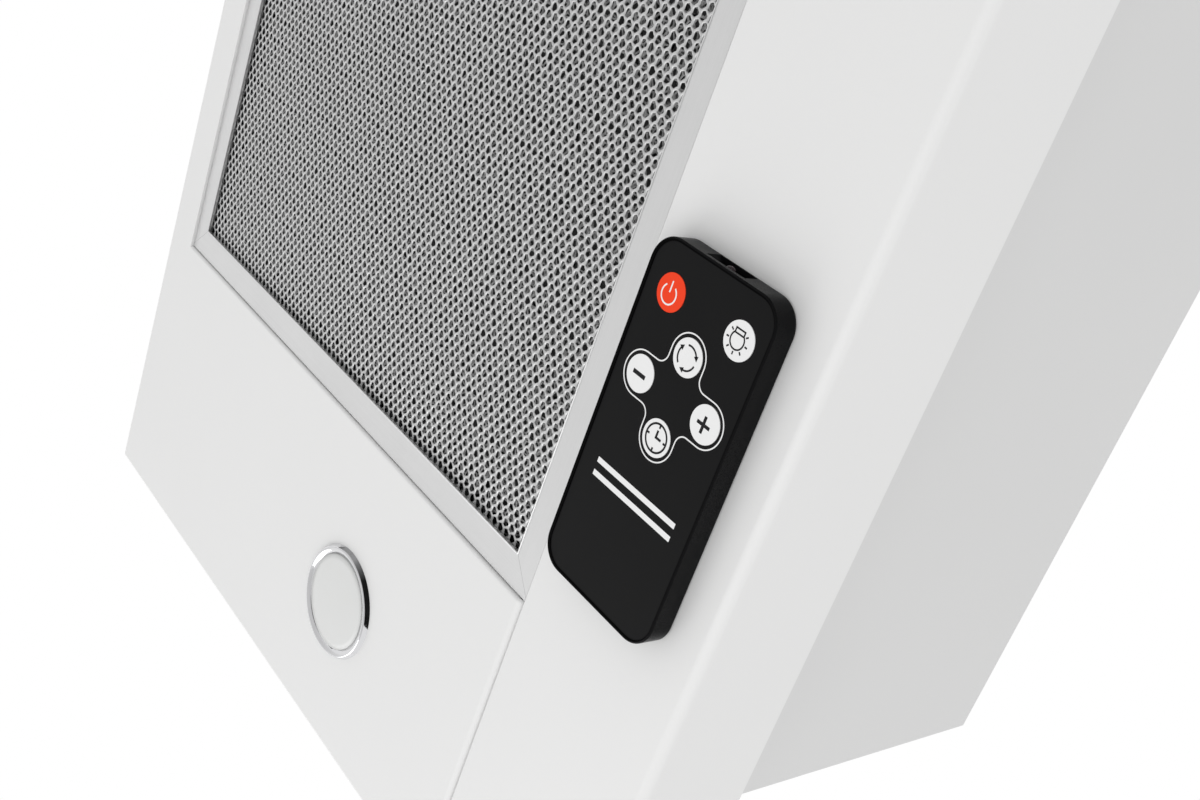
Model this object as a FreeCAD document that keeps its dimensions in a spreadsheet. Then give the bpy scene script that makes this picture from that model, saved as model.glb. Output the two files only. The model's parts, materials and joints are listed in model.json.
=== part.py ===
import FreeCAD, Part
import math
import os
import re

import Sketcher
from FreeCAD import Placement, Rotation, Vector

# Telescopic range hood. Origin: middle of the cabinet screw holes, on the top face of the mounting plate.
# +Z is up, +X is the hood's right end seen from the front, and the front faces -Y.

SIZES = [
    # Overall sizes
    ("hood_width", 598, "width of the base and of the visor"),
    ("base_height", 40, "underside to the top of the mounting plate"),
    ("box_inset", 36, "each end of the box inside the hood's end"),
    ("housing_depth", 261, "depth of the box and of the mounting plate"),
    ("housing_height", 165, "height of the box over the mounting plate"),
    ("box_setback", 29, "visor face to the front of the box"),
    ("steel", 1, "sheet thickness"),
    ("play", 0.3, "running clearance"),
    ("fit_gap", 0.1, "clearance of a close fit"),
    # Mounting plate
    ("plate_side", 63, "plate left inside the box at each end"),
    ("plate_rim", 28, "plate left inside the box at front and back"),
    ("screw_inset", 25, "cabinet screw hole to the hood's end"),
    ("screw_row", 180, "spacing of the cabinet screw holes, front to back"),
    ("screw_hole", 2.5, "radius of a cabinet screw hole"),
    # Base pan and front rail
    ("lamp_panel", 97.4, "length of a light panel"),
    ("pan_radius", 2, "bend radius of the pan's outer edges"),
    ("panel_radius", 0.9, "bend radius of the edge beside the filter"),
    ("seam_gap", 0.4, "parting gap between visor and base"),
    ("front_rail_depth", 11, "depth of the rail over the filter's front edge"),
    ("front_rail_tab", 14, "length of rail that rests on each light panel"),
    # Visor
    ("strip_depth", 58, "depth of the visor's underside"),
    ("bend_radius", 2.5, "bend at the visor's lower front edge"),
    ("visor_gap", 1, "gap between mounting plate and visor"),
    ("visor_lip", 9, "height of the visor's rear lip"),
    ("visor_cap", 1.5, "thickness of a visor end cap"),
    ("visor_travel", 170, "pull-out of the visor"),
    ("deck_overlap", 20, "top sheet left under the box when the visor is out"),
    ("drawer_ledge", 3, "ledge that carries the visor's filter"),
    ("ir_radius", 4, "radius of the infra-red lens"),
    ("ir_flange", 2, "rim of the infra-red lens behind the sheet"),
    # Telescopic rails
    ("rail_height", 18, "height of an outer rail"),
    ("rail_depth", 12, "depth of an outer rail"),
    ("rail_wall", 1.2, "wall of a rail"),
    ("rail_end_gap", 16.6, "rear end of the rails to the back wall"),
    ("rail_start", 4, "front end of the rails behind the seam"),
    # Grease filter
    ("rear_strip", 16.8, "depth of the pan's rear strip"),
    ("filter_thickness", 9, "thickness of the filter frame"),
    ("filter_bar_front", 8, "visible width of the front and rear bars"),
    ("filter_bar_end", 9, "visible width of the end bars"),
    ("filter_clear", 0.4, "gap round the filter frame"),
    ("filter_recess", 0.9, "filter face above the underside"),
    ("foil", 1, "sheet thickness of a filter frame"),
    ("mesh_sheet", 1, "thickness of one mesh sheet"),
    ("mesh_pitch", 18, "pitch of the mesh gaps"),
    ("mesh_strand", 3, "width of the strands between the gaps"),
    ("visor_filter_thickness", 7, "thickness of the visor's filter frame"),
    ("lug_spacing", 240, "spacing of the rear lugs"),
    ("lug_width", 16, "width of a rear lug"),
    ("lug_reach", 3, "lug behind the filter frame"),
    ("lug_thickness", 1.2, "thickness of a rear lug"),
    ("lug_height", 3.4, "lug above the filter face"),
    # Filter latch
    ("latch_bed_side", 8, "guide block beside the latch pad"),
    ("latch_bed_wall", 5, "guide block behind the latch's recess"),
    ("latch_width", 44, "width of the latch pad"),
    ("latch_pad", 12.5, "depth of the latch pad"),
    ("latch_height", 5, "thickness of the latch pad"),
    ("latch_travel", 5, "travel of the latch"),
    ("latch_post_width", 14, "width of the latch post"),
    ("latch_post", 4, "depth of the latch post"),
    ("latch_toe", 1.5, "thickness of the latch toe"),
    ("latch_hold", 3.5, "toe over the front rail"),
    # Lamps
    ("lamp_from_end", 45.4, "lamp centre to the hood's end"),
    ("lamp_from_seam", 72.5, "lamp centre to the seam"),
    ("bezel_radius", 17.5, "outer radius of a lamp bezel"),
    ("bezel_ring", 2.9, "width of the bezel ring"),
    ("bezel_height", 1.6, "bezel below the panel"),
    ("bezel_neck", 0.7, "wall of the bezel neck"),
    ("neck_length", 6, "length of the bezel neck above the panel face"),
    ("lens_thickness", 2, "thickness of a lamp lens"),
    ("lens_recess", 0.5, "lens above the bezel's face"),
    ("lamp_body_rim", 1.7, "lamp body beyond the bezel neck"),
    ("lamp_body_height", 18, "height of a lamp body"),
    # Housing and outlet
    ("panel_flange", 12, "side flange of the front and back panels"),
    ("screw_radius", 1.6, "radius of a small screw"),
    ("screw_head", 3.2, "head radius of a small screw"),
    ("screw_head_height", 1.8, "head height of a small screw"),
    ("screw_length", 4, "length of a small screw under its head"),
    ("screw_margin", 30, "housing screw to the box's top or bottom edge"),
    ("collar_radius", 75, "outer radius of the outlet collar"),
    ("collar_wall", 3, "wall of the outlet collar"),
    ("collar_height", 45, "height of the collar over its flange"),
    ("collar_flange", 15, "flange around the collar"),
    ("collar_base", 2.5, "thickness of the flange"),
    ("collar_ledge", 4, "ledge that stops the flaps"),
    ("flap_thickness", 1.5, "thickness of a flap"),
    ("flap_split", 5, "flap edge to the pin's axis"),
    ("pin_radius", 1.5, "radius of the flap pin"),
    ("knuckle_wall", 1.5, "wall of a flap knuckle"),
    ("knuckle_middle", 40, "length of the rear flap's knuckle"),
    ("knuckle_side", 35, "length of each front flap knuckle"),
    ("gland_from_side", 60, "cable gland to the box's left side"),
    ("gland_from_back", 45, "cable gland to the box's back"),
    ("gland_bore", 4, "radius of the gland's bore"),
    ("gland_neck", 8, "radius of the gland's neck"),
    ("gland_nut", 11, "radius of the gland's nut and flange"),
    ("gland_height", 14, "height of the gland over the box"),
    ("gland_depth", 6, "nut below the box's top sheet"),
    ("gland_rim", 3, "height of the gland's flange"),
    ("gland_shoulder", 2, "step from the gland's flange to its cap"),
    # Blower
    ("blower_width", 120, "width of the scroll band"),
    ("blower_wall", 1.2, "wall of the scroll"),
    ("blower_floor", 3, "scroll above the mounting plate"),
    ("scroll_radius", 54, "inner radius of the scroll's rear half"),
    ("scroll_growth", 11, "growth of the scroll's front quarter"),
    ("tongue_radius", 6, "radius of the scroll's tongue"),
    ("inlet_radius", 40, "radius of an inlet"),
    ("fan_gap", 8, "impeller to the scroll's rear half"),
    ("fan_side_gap", 8, "impeller to each side plate"),
    ("blade_depth", 8, "depth of a blade"),
    ("blade_wall", 1.2, "thickness of a blade"),
    ("blade_count", 28, "number of blades"),
    ("fan_ring", 2.5, "thickness of the end rings and of the hub disc"),
    ("hub_radius", 11, "radius of the hub boss"),
    ("hub_length", 24, "length of the hub boss"),
    ("shaft_radius", 4, "radius of the motor shaft"),
    ("motor_radius", 36, "radius of the motor"),
    ("motor_length", 58, "length of the motor"),
    ("shaft_depth", 22, "shaft inside the motor"),
    ("bracket_width", 28, "width of the motor bracket"),
    ("bracket_wall", 2, "thickness of the motor bracket"),
    ("bracket_overlap", 9, "bracket past the inlet's edge"),
    # Electrical pieces
    ("control_gap", 3, "control box to the box's left wall"),
    ("control_width", 52, "width of the control box"),
    ("control_depth", 110, "depth of the control box"),
    ("control_height", 40, "height of the control box"),
    ("control_wall", 2, "wall of the control box"),
    ("board_thickness", 1.6, "thickness of the control board"),
    ("relay_width", 15, "width of a relay on the board"),
    ("relay_height", 16, "height of a relay on the board"),
    ("relay_count", 4, "number of relays on the board"),
    ("switch_width", 16, "width of the reed switch"),
    ("switch_depth", 8, "depth of the reed switch"),
    ("magnet_height", 2, "thickness of the visor magnet"),
    # Remote control
    ("remote_x", 138.4, "remote's centre from the hood's middle"),
    ("remote_from_seam", 26.5, "remote's centre in front of the seam"),
    ("remote_length", 86, "length of the remote"),
    ("remote_width", 40, "width of the remote"),
    ("remote_corner", 7, "corner radius of the remote"),
    ("remote_edge", 0.4, "edge radius of the remote's face"),
    ("remote_back_edge", 0.7, "edge radius of the remote's back"),
    ("remote_rim", 0.7, "rim round the overlay"),
    ("remote_wall", 2.4, "side wall of the remote"),
    ("remote_back", 1.6, "back wall of the remote"),
    ("overlay_thickness", 0.4, "thickness of the overlay"),
    ("overlay_recess", 0.15, "overlay below the rim"),
    ("key_radius", 4.35, "radius of a key"),
    ("key_cap", 1.2, "thickness of a key's cap"),
    ("key_stem", 2.2, "radius of a key's stem"),
    ("key_travel", 0.4, "travel of a key"),
    ("key_first", 11.4, "first row of keys to the infra-red end"),
    ("key_row", 9.93, "spacing of the rows of keys"),
    ("key_side", 8.8, "side keys to the remote's long edges, but for the shift"),
    ("key_shift", 0.7, "keys off the remote's middle line, towards its front edge"),
    ("remote_board", 0.8, "thickness of the remote's board"),
    ("tray_front", 1, "tray in front of the coin cell"),
    ("tray_end", 5.4, "tray behind the coin cell"),
    ("tray_side", 2.2, "tray beside the coin cell"),
    ("tray_base", 0.6, "floor of the battery tray"),
    ("tray_gap", 1.15, "room between overlay and battery tray"),
    ("cell_radius", 10, "radius of the coin cell"),
    ("cell_height", 2.5, "thickness of the coin cell"),
    ("holder_magnet_radius", 4, "radius of a holding magnet"),
    ("holder_magnet_height", 1.2, "thickness of a holding magnet"),
    ("holder_magnet_spacing", 36, "spacing of the holding magnets"),
    ("diode_radius", 1.5, "radius of the infra-red diode"),
    ("diode_length", 5, "length of the infra-red diode"),
    ("notch_width", 12, "width of the notch at the infra-red end"),
    ("notch_depth", 1.4, "depth of that notch"),
    ("notch_slope", 2, "run of the notch's slanted cheeks"),
    ("notch_cover", 1.4, "case left between notch and remote's face"),
    ("notch_lip", 0.9, "case left between notch and remote's back"),
]

doc = FreeCAD.newDocument("telescopic_hood")
dims = doc.addObject("Spreadsheet::Sheet", "dims")
for row, (alias, value, note) in enumerate(SIZES, start=1):
    dims.set(f"A{row}", note)
    dims.set(f"B{row}", str(value))
    dims.setAlias(f"B{row}", alias)
doc.recompute()

ALIASES = {alias for alias, value, note in SIZES}
nodes = []


def linked(formula):
    """A formula in sheet names, written the way the document's expressions take it."""
    return re.sub("[a-z_]+", lambda word: f"dims.{word[0]}" if word[0] in ALIASES else word[0], str(formula))


def bind(item, name, formula):
    item.setExpression(name, linked(formula))


def size(alias):
    return float(dims.get(alias))


def place(item, at, turn=Rotation()):
    item.Placement = Placement(Vector(), turn)
    for axis, formula in zip("xyz", at):
        bind(item, f"Placement.Base.{axis}", formula)
    return item


def node(label, item):
    item.Label = label
    nodes.append(item)
    return item


def minus(formula):
    return f"(-({formula}))"


# Primitives and booleans

TURNS = {
    "x": Rotation(Vector(0, 1, 0), 90),
    "y": Rotation(Vector(1, 0, 0), -90),
    "z": Rotation(),
}


def block(low, high):
    item = doc.addObject("Part::Box", "block")
    for name, start, end in zip(("Length", "Width", "Height"), low, high):
        bind(item, name, f"({end}) - ({start})")
    return place(item, low)


def rod(radius, length, at, axis="z"):
    item = doc.addObject("Part::Cylinder", "rod")
    bind(item, "Radius", radius)
    bind(item, "Height", length)
    return place(item, at, TURNS[axis])


def sector(radius, length, at, start, sweep):
    """A slice of a cylinder along X, from the start angle (0 is +Y, 90 is +Z) over the sweep."""
    item = doc.addObject("Part::Cylinder", "sector")
    bind(item, "Radius", radius)
    bind(item, "Height", length)
    item.Angle = sweep
    return place(item, at, Rotation(Vector(1, 0, 0), start) * Rotation(Vector(1, 1, 1), 120))


def fused(items):
    item = doc.addObject("Part::MultiFuse", "fused")
    item.Shapes = items
    item.Refine = True
    return item


def cut(base, tools):
    item = doc.addObject("Part::Cut", "trimmed")
    item.Base = base
    item.Tool = tools[0] if len(tools) == 1 else fused(tools)
    return item


def together(items):
    item = doc.addObject("Part::Compound", "group")
    item.Links = items
    return item


def mirrored(source):
    item = doc.addObject("Part::Mirroring", "mirrored")
    item.Source = source
    item.Normal = Vector(1, 0, 0)
    item.Base = Vector()
    return item


# Bodies, sketches and features


def body(name):
    return doc.addObject("PartDesign::Body", name)


def sketch(part, plane, offset="0"):
    drawing = part.newObject("Sketcher::SketchObject", "outline")
    support = next(feature for feature in part.Origin.OriginFeatures if feature.Role == plane)
    drawing.AttachmentSupport = (support, [""])
    drawing.MapMode = "FlatFace"
    bind(drawing, "AttachmentOffset.Base.z", offset)
    return drawing


def pinned(drawing, geometry, point, at):
    """Holds one point of a sketch at formulas for its two coordinates."""
    for kind, formula in zip(("DistanceX", "DistanceY"), at):
        index = drawing.addConstraint(Sketcher.Constraint(kind, -1, 1, geometry, point, 1.0))
        bind(drawing, f"Constraints[{index}]", formula)


def polygon(drawing, corners):
    count = len(corners)
    first = drawing.GeometryCount
    turn = [2 * math.pi * step / count for step in range(count + 1)]
    ring = [Vector(math.cos(angle), math.sin(angle), 0) for angle in turn]
    for start, end in zip(ring, ring[1:]):
        drawing.addGeometry(Part.LineSegment(start, end))
    for step in range(count):
        after = first + (step + 1) % count
        drawing.addConstraint(Sketcher.Constraint("Coincident", first + step, 2, after, 1))
    for step, corner in enumerate(corners):
        pinned(drawing, first + step, 1, corner)


def rectangle(drawing, low, high):
    polygon(drawing, [low, (high[0], low[1]), high, (low[0], high[1])])


def circle(drawing, at, radius):
    geometry = drawing.addGeometry(Part.Circle(Vector(), Vector(0, 0, 1), 1))
    index = drawing.addConstraint(Sketcher.Constraint("Radius", geometry, 1.0))
    bind(drawing, f"Constraints[{index}]", radius)
    pinned(drawing, geometry, 3, at)


def pad(part, drawing, length, middle=False, reverse=False):
    item = part.newObject("PartDesign::Pad", "pad")
    item.Profile = drawing
    item.SideType = "Symmetric" if middle else "One side"
    item.Reversed = reverse
    bind(item, "Length", length)
    doc.recompute()
    return item


def pocket(part, drawing, depth):
    """Cuts against the sketch's normal, and stops if nothing was cut."""
    before = part.Shape.Volume
    item = part.newObject("PartDesign::Pocket", "pocket")
    item.Profile = drawing
    bind(item, "Length", depth)
    doc.recompute()
    if item.Shape.Volume >= before:
        raise ValueError(f"a pocket of {part.Label} cut nothing")
    return item


def turned(part, drawing):
    item = part.newObject("PartDesign::Revolution", "turned")
    item.Profile = drawing
    item.ReferenceAxis = (drawing, ["V_Axis"])
    item.Angle = 360
    doc.recompute()
    return item


def rounded(part, radius, chosen):
    base = part.Tip
    edges = [f"Edge{index}" for index, edge in enumerate(base.Shape.Edges, start=1) if chosen(edge)]
    item = part.newObject("PartDesign::Fillet", "fillet")
    item.Base = (base, edges)
    bind(item, "Radius", radius)
    doc.recompute()
    return item


def along(axis):
    """Chooses straight edges that run along an axis."""
    direction = {"x": Vector(1, 0, 0), "y": Vector(0, 1, 0), "z": Vector(0, 0, 1)}[axis]

    def chosen(edge):
        ends = [vertex.Point for vertex in edge.Vertexes]
        return len(ends) == 2 and near(abs((ends[1] - ends[0]).dot(direction)), edge.Length)

    return chosen


def near(first, second):
    return abs(first - second) < 1e-4


def rounded_block(name, low, high, corner):
    """A block with its four upright edges rounded."""
    part = body(name)
    outline = sketch(part, "XY_Plane", low[2])
    rectangle(outline, low[:2], high[:2])
    pad(part, outline, f"({high[2]}) - ({low[2]})")
    rounded(part, corner, along("z"))
    return part


# Places that several pieces share

END = "(hood_width / 2)"
BOX_SIDE = "(hood_width / 2 - box_inset)"
REAR = "(housing_depth / 2)"
BOX_FRONT = "(-housing_depth / 2)"
FACE = "(-housing_depth / 2 - box_setback)"
SEAM = f"({FACE} + strip_depth)"
VISOR_REAR = f"({SEAM} - seam_gap / 2)"
PAN_FRONT = f"({SEAM} + seam_gap / 2)"
UNDER = "(-base_height)"
VISOR_TOP = "(-steel - visor_gap)"
DECK = f"({VISOR_TOP} - steel)"
PANEL_EDGE = "(hood_width / 2 - lamp_panel)"

FILTER_END = f"({PANEL_EDGE} - filter_clear)"
FILTER_LOW = f"({UNDER} + filter_recess)"
FILTER_TOP = f"({FILTER_LOW} + filter_thickness)"
STRIP_FRONT = f"({REAR} - rear_strip)"
FILTER_REAR = f"({STRIP_FRONT} - filter_clear)"
LIP_TOP = f"({FILTER_TOP} + play)"
RAIL_TOP = f"({LIP_TOP} + steel)"
TOE_LOW = f"({RAIL_TOP} + play)"
DRAWER_LOW = f"({TOE_LOW} + latch_toe + 2 * play)"

ARM = "(hood_width / 2 - steel - rail_depth - play)"
FLANGE = f"({PANEL_EDGE} - filter_clear - steel)"
DECK_REAR = f"({BOX_FRONT} + visor_travel + deck_overlap)"
SLIDE_FRONT = f"({PAN_FRONT} + rail_start)"
SLIDE_REAR = f"({REAR} - steel - rail_end_gap)"
SLIDE_Z = f"(({DRAWER_LOW} + {DECK}) / 2)"

LAMP_X = "(hood_width / 2 - lamp_from_end)"
LAMP_Y = f"({SEAM} + lamp_from_seam)"
BEZEL_NECK = "(bezel_radius - bezel_ring + bezel_neck)"
LUG_LOW = f"({FILTER_LOW} + lug_height)"
LATCH_FRONT = f"({PAN_FRONT} + front_rail_depth + play)"
RECESS_REAR = f"({LATCH_FRONT} + latch_pad + latch_travel + play)"
BED_SIDE = "(latch_width / 2 + latch_bed_side)"
BED_REAR = f"({RECESS_REAR} + latch_bed_wall)"

BOX_TOP = "(housing_height - steel)"
BLOWER_Y = "((scroll_radius + scroll_growth + tongue_radius) / 2)"
BLOWER_Z = "(blower_floor + blower_wall + scroll_radius)"
BLOWER_SIDE = "(blower_width / 2)"
FAN_RADIUS = "(scroll_radius - fan_gap)"
GLAND_X = f"(gland_from_side - {BOX_SIDE})"
GLAND_Y = f"({REAR} - gland_from_back)"
PIN_Z = "(housing_height + collar_base + 2 * play + pin_radius + knuckle_wall)"
FLAP_RADIUS = "(collar_radius - collar_wall - 2 * play)"

REMOTE_Y = f"({SEAM} - remote_from_seam)"
REMOTE_BACK = f"({UNDER} - fit_gap)"
REMOTE_FLOOR = f"({REMOTE_BACK} - remote_back)"
TRAY_LOW = f"({REMOTE_FLOOR} - tray_base - cell_height - fit_gap)"
REMOTE_SHELF = f"({TRAY_LOW} - tray_gap)"
REMOTE_FACE = f"({REMOTE_SHELF} - overlay_thickness - overlay_recess)"
REMOTE_TIP = "(remote_x - remote_length / 2)"
REMOTE_TAIL = "(remote_x + remote_length / 2)"
CELL_X = f"({REMOTE_TAIL} - tray_end - cell_radius - play)"
TRAY_FRONT = f"({CELL_X} - cell_radius - play - tray_front)"
TRAY_SIDE = "(cell_radius + play + tray_side)"


# Fixed base


def base_pan():
    part = body("pan")
    outline = sketch(part, "XY_Plane", UNDER)
    rectangle(outline, (minus(END), PAN_FRONT), (END, REAR))
    pad(part, outline, "base_height - steel")
    underside = -size("base_height")
    rear = size("housing_depth") / 2

    def outer(edge):
        upright = along("z")(edge) and near(edge.CenterOfMass.y, rear)
        return upright or near(edge.BoundBox.ZMax, underside)

    rounded(part, "pan_radius", outer)
    hollow = sketch(part, "XY_Plane", "-steel")
    rectangle(hollow, (f"-{END} + steel", f"{PAN_FRONT} + steel"), (f"{END} - steel", f"{REAR} - steel"))
    pocket(part, hollow, "base_height - 2 * steel")
    low_front = sketch(part, "XY_Plane", "-steel")
    front_low = (f"-{END} + steel", f"{PAN_FRONT} - steel")
    rectangle(low_front, front_low, (f"{END} - steel", f"{PAN_FRONT} + steel"))
    pocket(part, low_front, f"-steel - {LIP_TOP}")
    mouth = sketch(part, "XY_Plane", "-steel")
    rectangle(mouth, (minus(PANEL_EDGE), f"{PAN_FRONT} - steel"), (PANEL_EDGE, STRIP_FRONT))
    pocket(part, mouth, "base_height")
    lip = sketch(part, "XY_Plane", UNDER)
    inner = f"{PAN_FRONT} + pan_radius"
    polygon(
        lip,
        [
            (minus(PANEL_EDGE), inner),
            (minus(PANEL_EDGE), STRIP_FRONT),
            (PANEL_EDGE, STRIP_FRONT),
            (PANEL_EDGE, inner),
            (f"{PANEL_EDGE} + steel", inner),
            (f"{PANEL_EDGE} + steel", f"{STRIP_FRONT} + steel"),
            (f"-{PANEL_EDGE} - steel", f"{STRIP_FRONT} + steel"),
            (f"-{PANEL_EDGE} - steel", inner),
        ],
    )
    pad(part, lip, f"{LIP_TOP} - {UNDER}")
    panel_edge = size("hood_width") / 2 - size("lamp_panel")

    def beside_filter(edge):
        low = near(edge.BoundBox.ZMax, underside)
        return low and along("y")(edge) and near(abs(edge.CenterOfMass.x), panel_edge)

    rounded(part, "panel_radius", beside_filter)
    lamps = sketch(part, "XY_Plane", "-steel")
    circle(lamps, (LAMP_X, LAMP_Y), f"{BEZEL_NECK} + play")
    circle(lamps, (minus(LAMP_X), LAMP_Y), f"{BEZEL_NECK} + play")
    pocket(part, lamps, "base_height")
    slots = sketch(part, "XZ_Plane", f"-{STRIP_FRONT} + steel")
    for side in ("-lug_spacing / 2", "lug_spacing / 2"):
        low = (f"{side} - lug_width / 2 - play", f"{LUG_LOW} - play")
        high = (f"{side} + lug_width / 2 + play", f"{LUG_LOW} + lug_thickness + lug_reach")
        rectangle(slots, low, high)
    pocket(part, slots, "3 * steel")
    node("base_pan", part)


def front_rail():
    reach = f"({PANEL_EDGE} + front_rail_tab)"
    low = (minus(reach), PAN_FRONT, LIP_TOP)
    node("front_rail", block(low, (reach, f"{PAN_FRONT} + front_rail_depth", RAIL_TOP)))


def mounting_plate():
    sheet = block((minus(END), BOX_FRONT, "-steel"), (END, REAR, "0"))
    side = f"({BOX_SIDE} - plate_side)"
    edge = "(housing_depth / 2 - plate_rim)"
    tools = [block((minus(side), minus(edge), "-2 * steel"), (side, edge, "steel"))]
    for x in ("hood_width / 2 - screw_inset", "screw_inset - hood_width / 2"):
        for y in ("screw_row / 2", "-screw_row / 2"):
            tools.append(rod("screw_hole", "3 * steel", (x, y, "-2 * steel")))
    node("mounting_plate", cut(sheet, tools))


def lamp(side, sign):
    x = f"{sign} * {LAMP_X}"
    bezel = body(f"bezel_{side}")
    profile = sketch(bezel, "XZ_Plane")
    inner = "bezel_radius - bezel_ring"
    corners = [
        (inner, "-bezel_height + lens_recess"),
        ("bezel_radius - bezel_ring * 3 / 4", "-bezel_height"),
        ("bezel_radius - bezel_ring / 3", "-bezel_height"),
        ("bezel_radius", "-bezel_height / 3"),
        ("bezel_radius", "0"),
        (BEZEL_NECK, "0"),
        (BEZEL_NECK, "neck_length"),
        (inner, "neck_length"),
    ]
    polygon(profile, corners)
    turned(bezel, profile)
    node(f"lamp_{side}_bezel", place(bezel, (x, LAMP_Y, UNDER)))
    lens_low = f"{UNDER} - bezel_height + lens_recess"
    lens = rod(f"{inner} - fit_gap", "lens_thickness", (x, LAMP_Y, lens_low))
    node(f"lamp_{side}_lens", lens)
    seat = f"{UNDER} + neck_length"
    node(f"lamp_{side}_body", rod(f"{BEZEL_NECK} + lamp_body_rim", "lamp_body_height", (x, LAMP_Y, seat)))


def channel(outside, inside, height, web_outside):
    """A rail on the right: a web and two flanges, between two depths measured from the wall in."""
    low = f"({SLIDE_Z} - {height} / 2)"
    top = f"({SLIDE_Z} + {height} / 2)"
    wall = f"({END} - steel)"
    far = f"({wall} - {inside})"
    close = f"({wall} - {outside})"
    web = (f"{close} - rail_wall", close) if web_outside else (far, f"{far} + rail_wall")
    parts = [
        block((web[0], SLIDE_FRONT, low), (web[1], SLIDE_REAR, top)),
        block((far, SLIDE_FRONT, low), (close, SLIDE_REAR, f"{low} + rail_wall")),
        block((far, SLIDE_FRONT, f"{top} - rail_wall"), (close, SLIDE_REAR, top)),
    ]
    return fused(parts)


def rails():
    step = "(rail_wall + play)"
    rights = {
        "outer": channel("0", "rail_depth", "rail_height", True),
        "middle": channel(step, "rail_depth", f"(rail_height - 2 * {step})", True),
        "inner": channel(f"(2 * {step})", "(rail_depth + play)", f"(rail_height - 4 * {step})", False),
    }
    for name, right in rights.items():
        node(f"rail_{name}_right", right)
        node(f"rail_{name}_left", mirrored(right))


# Visor


def visor_front():
    part = body("front")
    profile = sketch(part, "YZ_Plane")
    corners = [
        (VISOR_REAR, VISOR_TOP),
        (FACE, VISOR_TOP),
        (FACE, UNDER),
        (VISOR_REAR, UNDER),
        (VISOR_REAR, f"{UNDER} + visor_lip"),
        (f"{VISOR_REAR} - steel", f"{UNDER} + visor_lip"),
        (f"{VISOR_REAR} - steel", f"{UNDER} + steel"),
        (f"{FACE} + steel", f"{UNDER} + steel"),
        (f"{FACE} + steel", f"{VISOR_TOP} - steel"),
        (VISOR_REAR, f"{VISOR_TOP} - steel"),
    ]
    polygon(profile, corners)
    pad(part, profile, "hood_width - 2 * visor_cap", middle=True)
    face = -size("housing_depth") / 2 - size("box_setback")
    underside = -size("base_height")
    visor_rear = face + size("strip_depth") - size("seam_gap") / 2

    def at(y, z):
        return lambda edge: along("x")(edge) and near(edge.CenterOfMass.y, y) and near(edge.CenterOfMass.z, z)

    rounded(part, "bend_radius", at(face, underside))
    inner = at(face + size("steel"), underside + size("steel"))
    rounded(part, "bend_radius - steel", inner)
    rounded(part, "panel_radius", at(visor_rear, underside))
    window = sketch(part, "XZ_Plane", f"-{FACE}")
    circle(window, ("0", f"({UNDER} + {VISOR_TOP}) / 2"), "ir_radius + fit_gap")
    pocket(part, window, "2 * steel")
    node("visor_front", part)


def visor_caps():
    part = body("cap")
    profile = sketch(part, "YZ_Plane", f"{END} - visor_cap")
    rectangle(profile, (FACE, UNDER), (VISOR_REAR, VISOR_TOP))
    pad(part, profile, "visor_cap")
    face = -size("housing_depth") / 2 - size("box_setback")
    underside = -size("base_height")

    def lower_front(edge):
        return along("x")(edge) and near(edge.CenterOfMass.y, face) and near(edge.CenterOfMass.z, underside)

    rounded(part, "bend_radius", lower_front)
    node("visor_cap_right", part)
    node("visor_cap_left", mirrored(part))


def visor_frame():
    front = f"{FACE} + steel"
    parts = [block((minus(ARM), front, f"{DECK} - steel"), (ARM, DECK_REAR, DECK))]
    for sign in ("", "-"):
        arm = (f"{ARM} - steel", ARM) if sign == "" else (minus(ARM), f"-{ARM} + steel")
        parts.append(block((arm[0], front, DRAWER_LOW), (arm[1], SLIDE_REAR, DECK)))
        wall = (FLANGE, f"{FLANGE} + steel") if sign == "" else (f"-{FLANGE} - steel", minus(FLANGE))
        parts.append(block((wall[0], VISOR_REAR, DRAWER_LOW), (wall[1], DECK_REAR, DECK)))
        lip = (f"{FLANGE} - drawer_ledge", FLANGE)
        if sign == "-":
            lip = (minus(FLANGE), f"-{FLANGE} + drawer_ledge")
        parts.append(block((lip[0], VISOR_REAR, DRAWER_LOW), (lip[1], DECK_REAR, f"{DRAWER_LOW} + steel")))
    node("visor_frame", fused(parts))


def ir_lens():
    z = f"({UNDER} + {VISOR_TOP}) / 2"
    window = rod("ir_radius", "steel + play", ("0", f"{FACE} - play", z), "y")
    rim = rod("ir_radius + ir_flange", "steel", ("0", f"{FACE} + steel", z), "y")
    node("ir_lens", fused([window, rim]))


def visor_switch():
    x = f"({BOX_SIDE} - plate_side + switch_width)"
    y = f"({DECK_REAR} - 2 * switch_depth)"
    low = (x, y, f"{DECK} + 2 * play")
    node("visor_switch", block(low, (f"{x} + switch_width", f"{y} + switch_depth", "-steel")))
    high = (f"{x} + switch_width", f"{y} + switch_depth", f"{DECK} - steel")
    node("visor_magnet", block((x, y, f"{DECK} - steel - magnet_height"), high))


# Filters


def hexagon(centre, radius):
    turn = [math.radians(60 * step + 30) for step in range(7)]
    return Part.makePolygon([centre + Vector(math.cos(a), math.sin(a), 0) * radius for a in turn])


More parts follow.
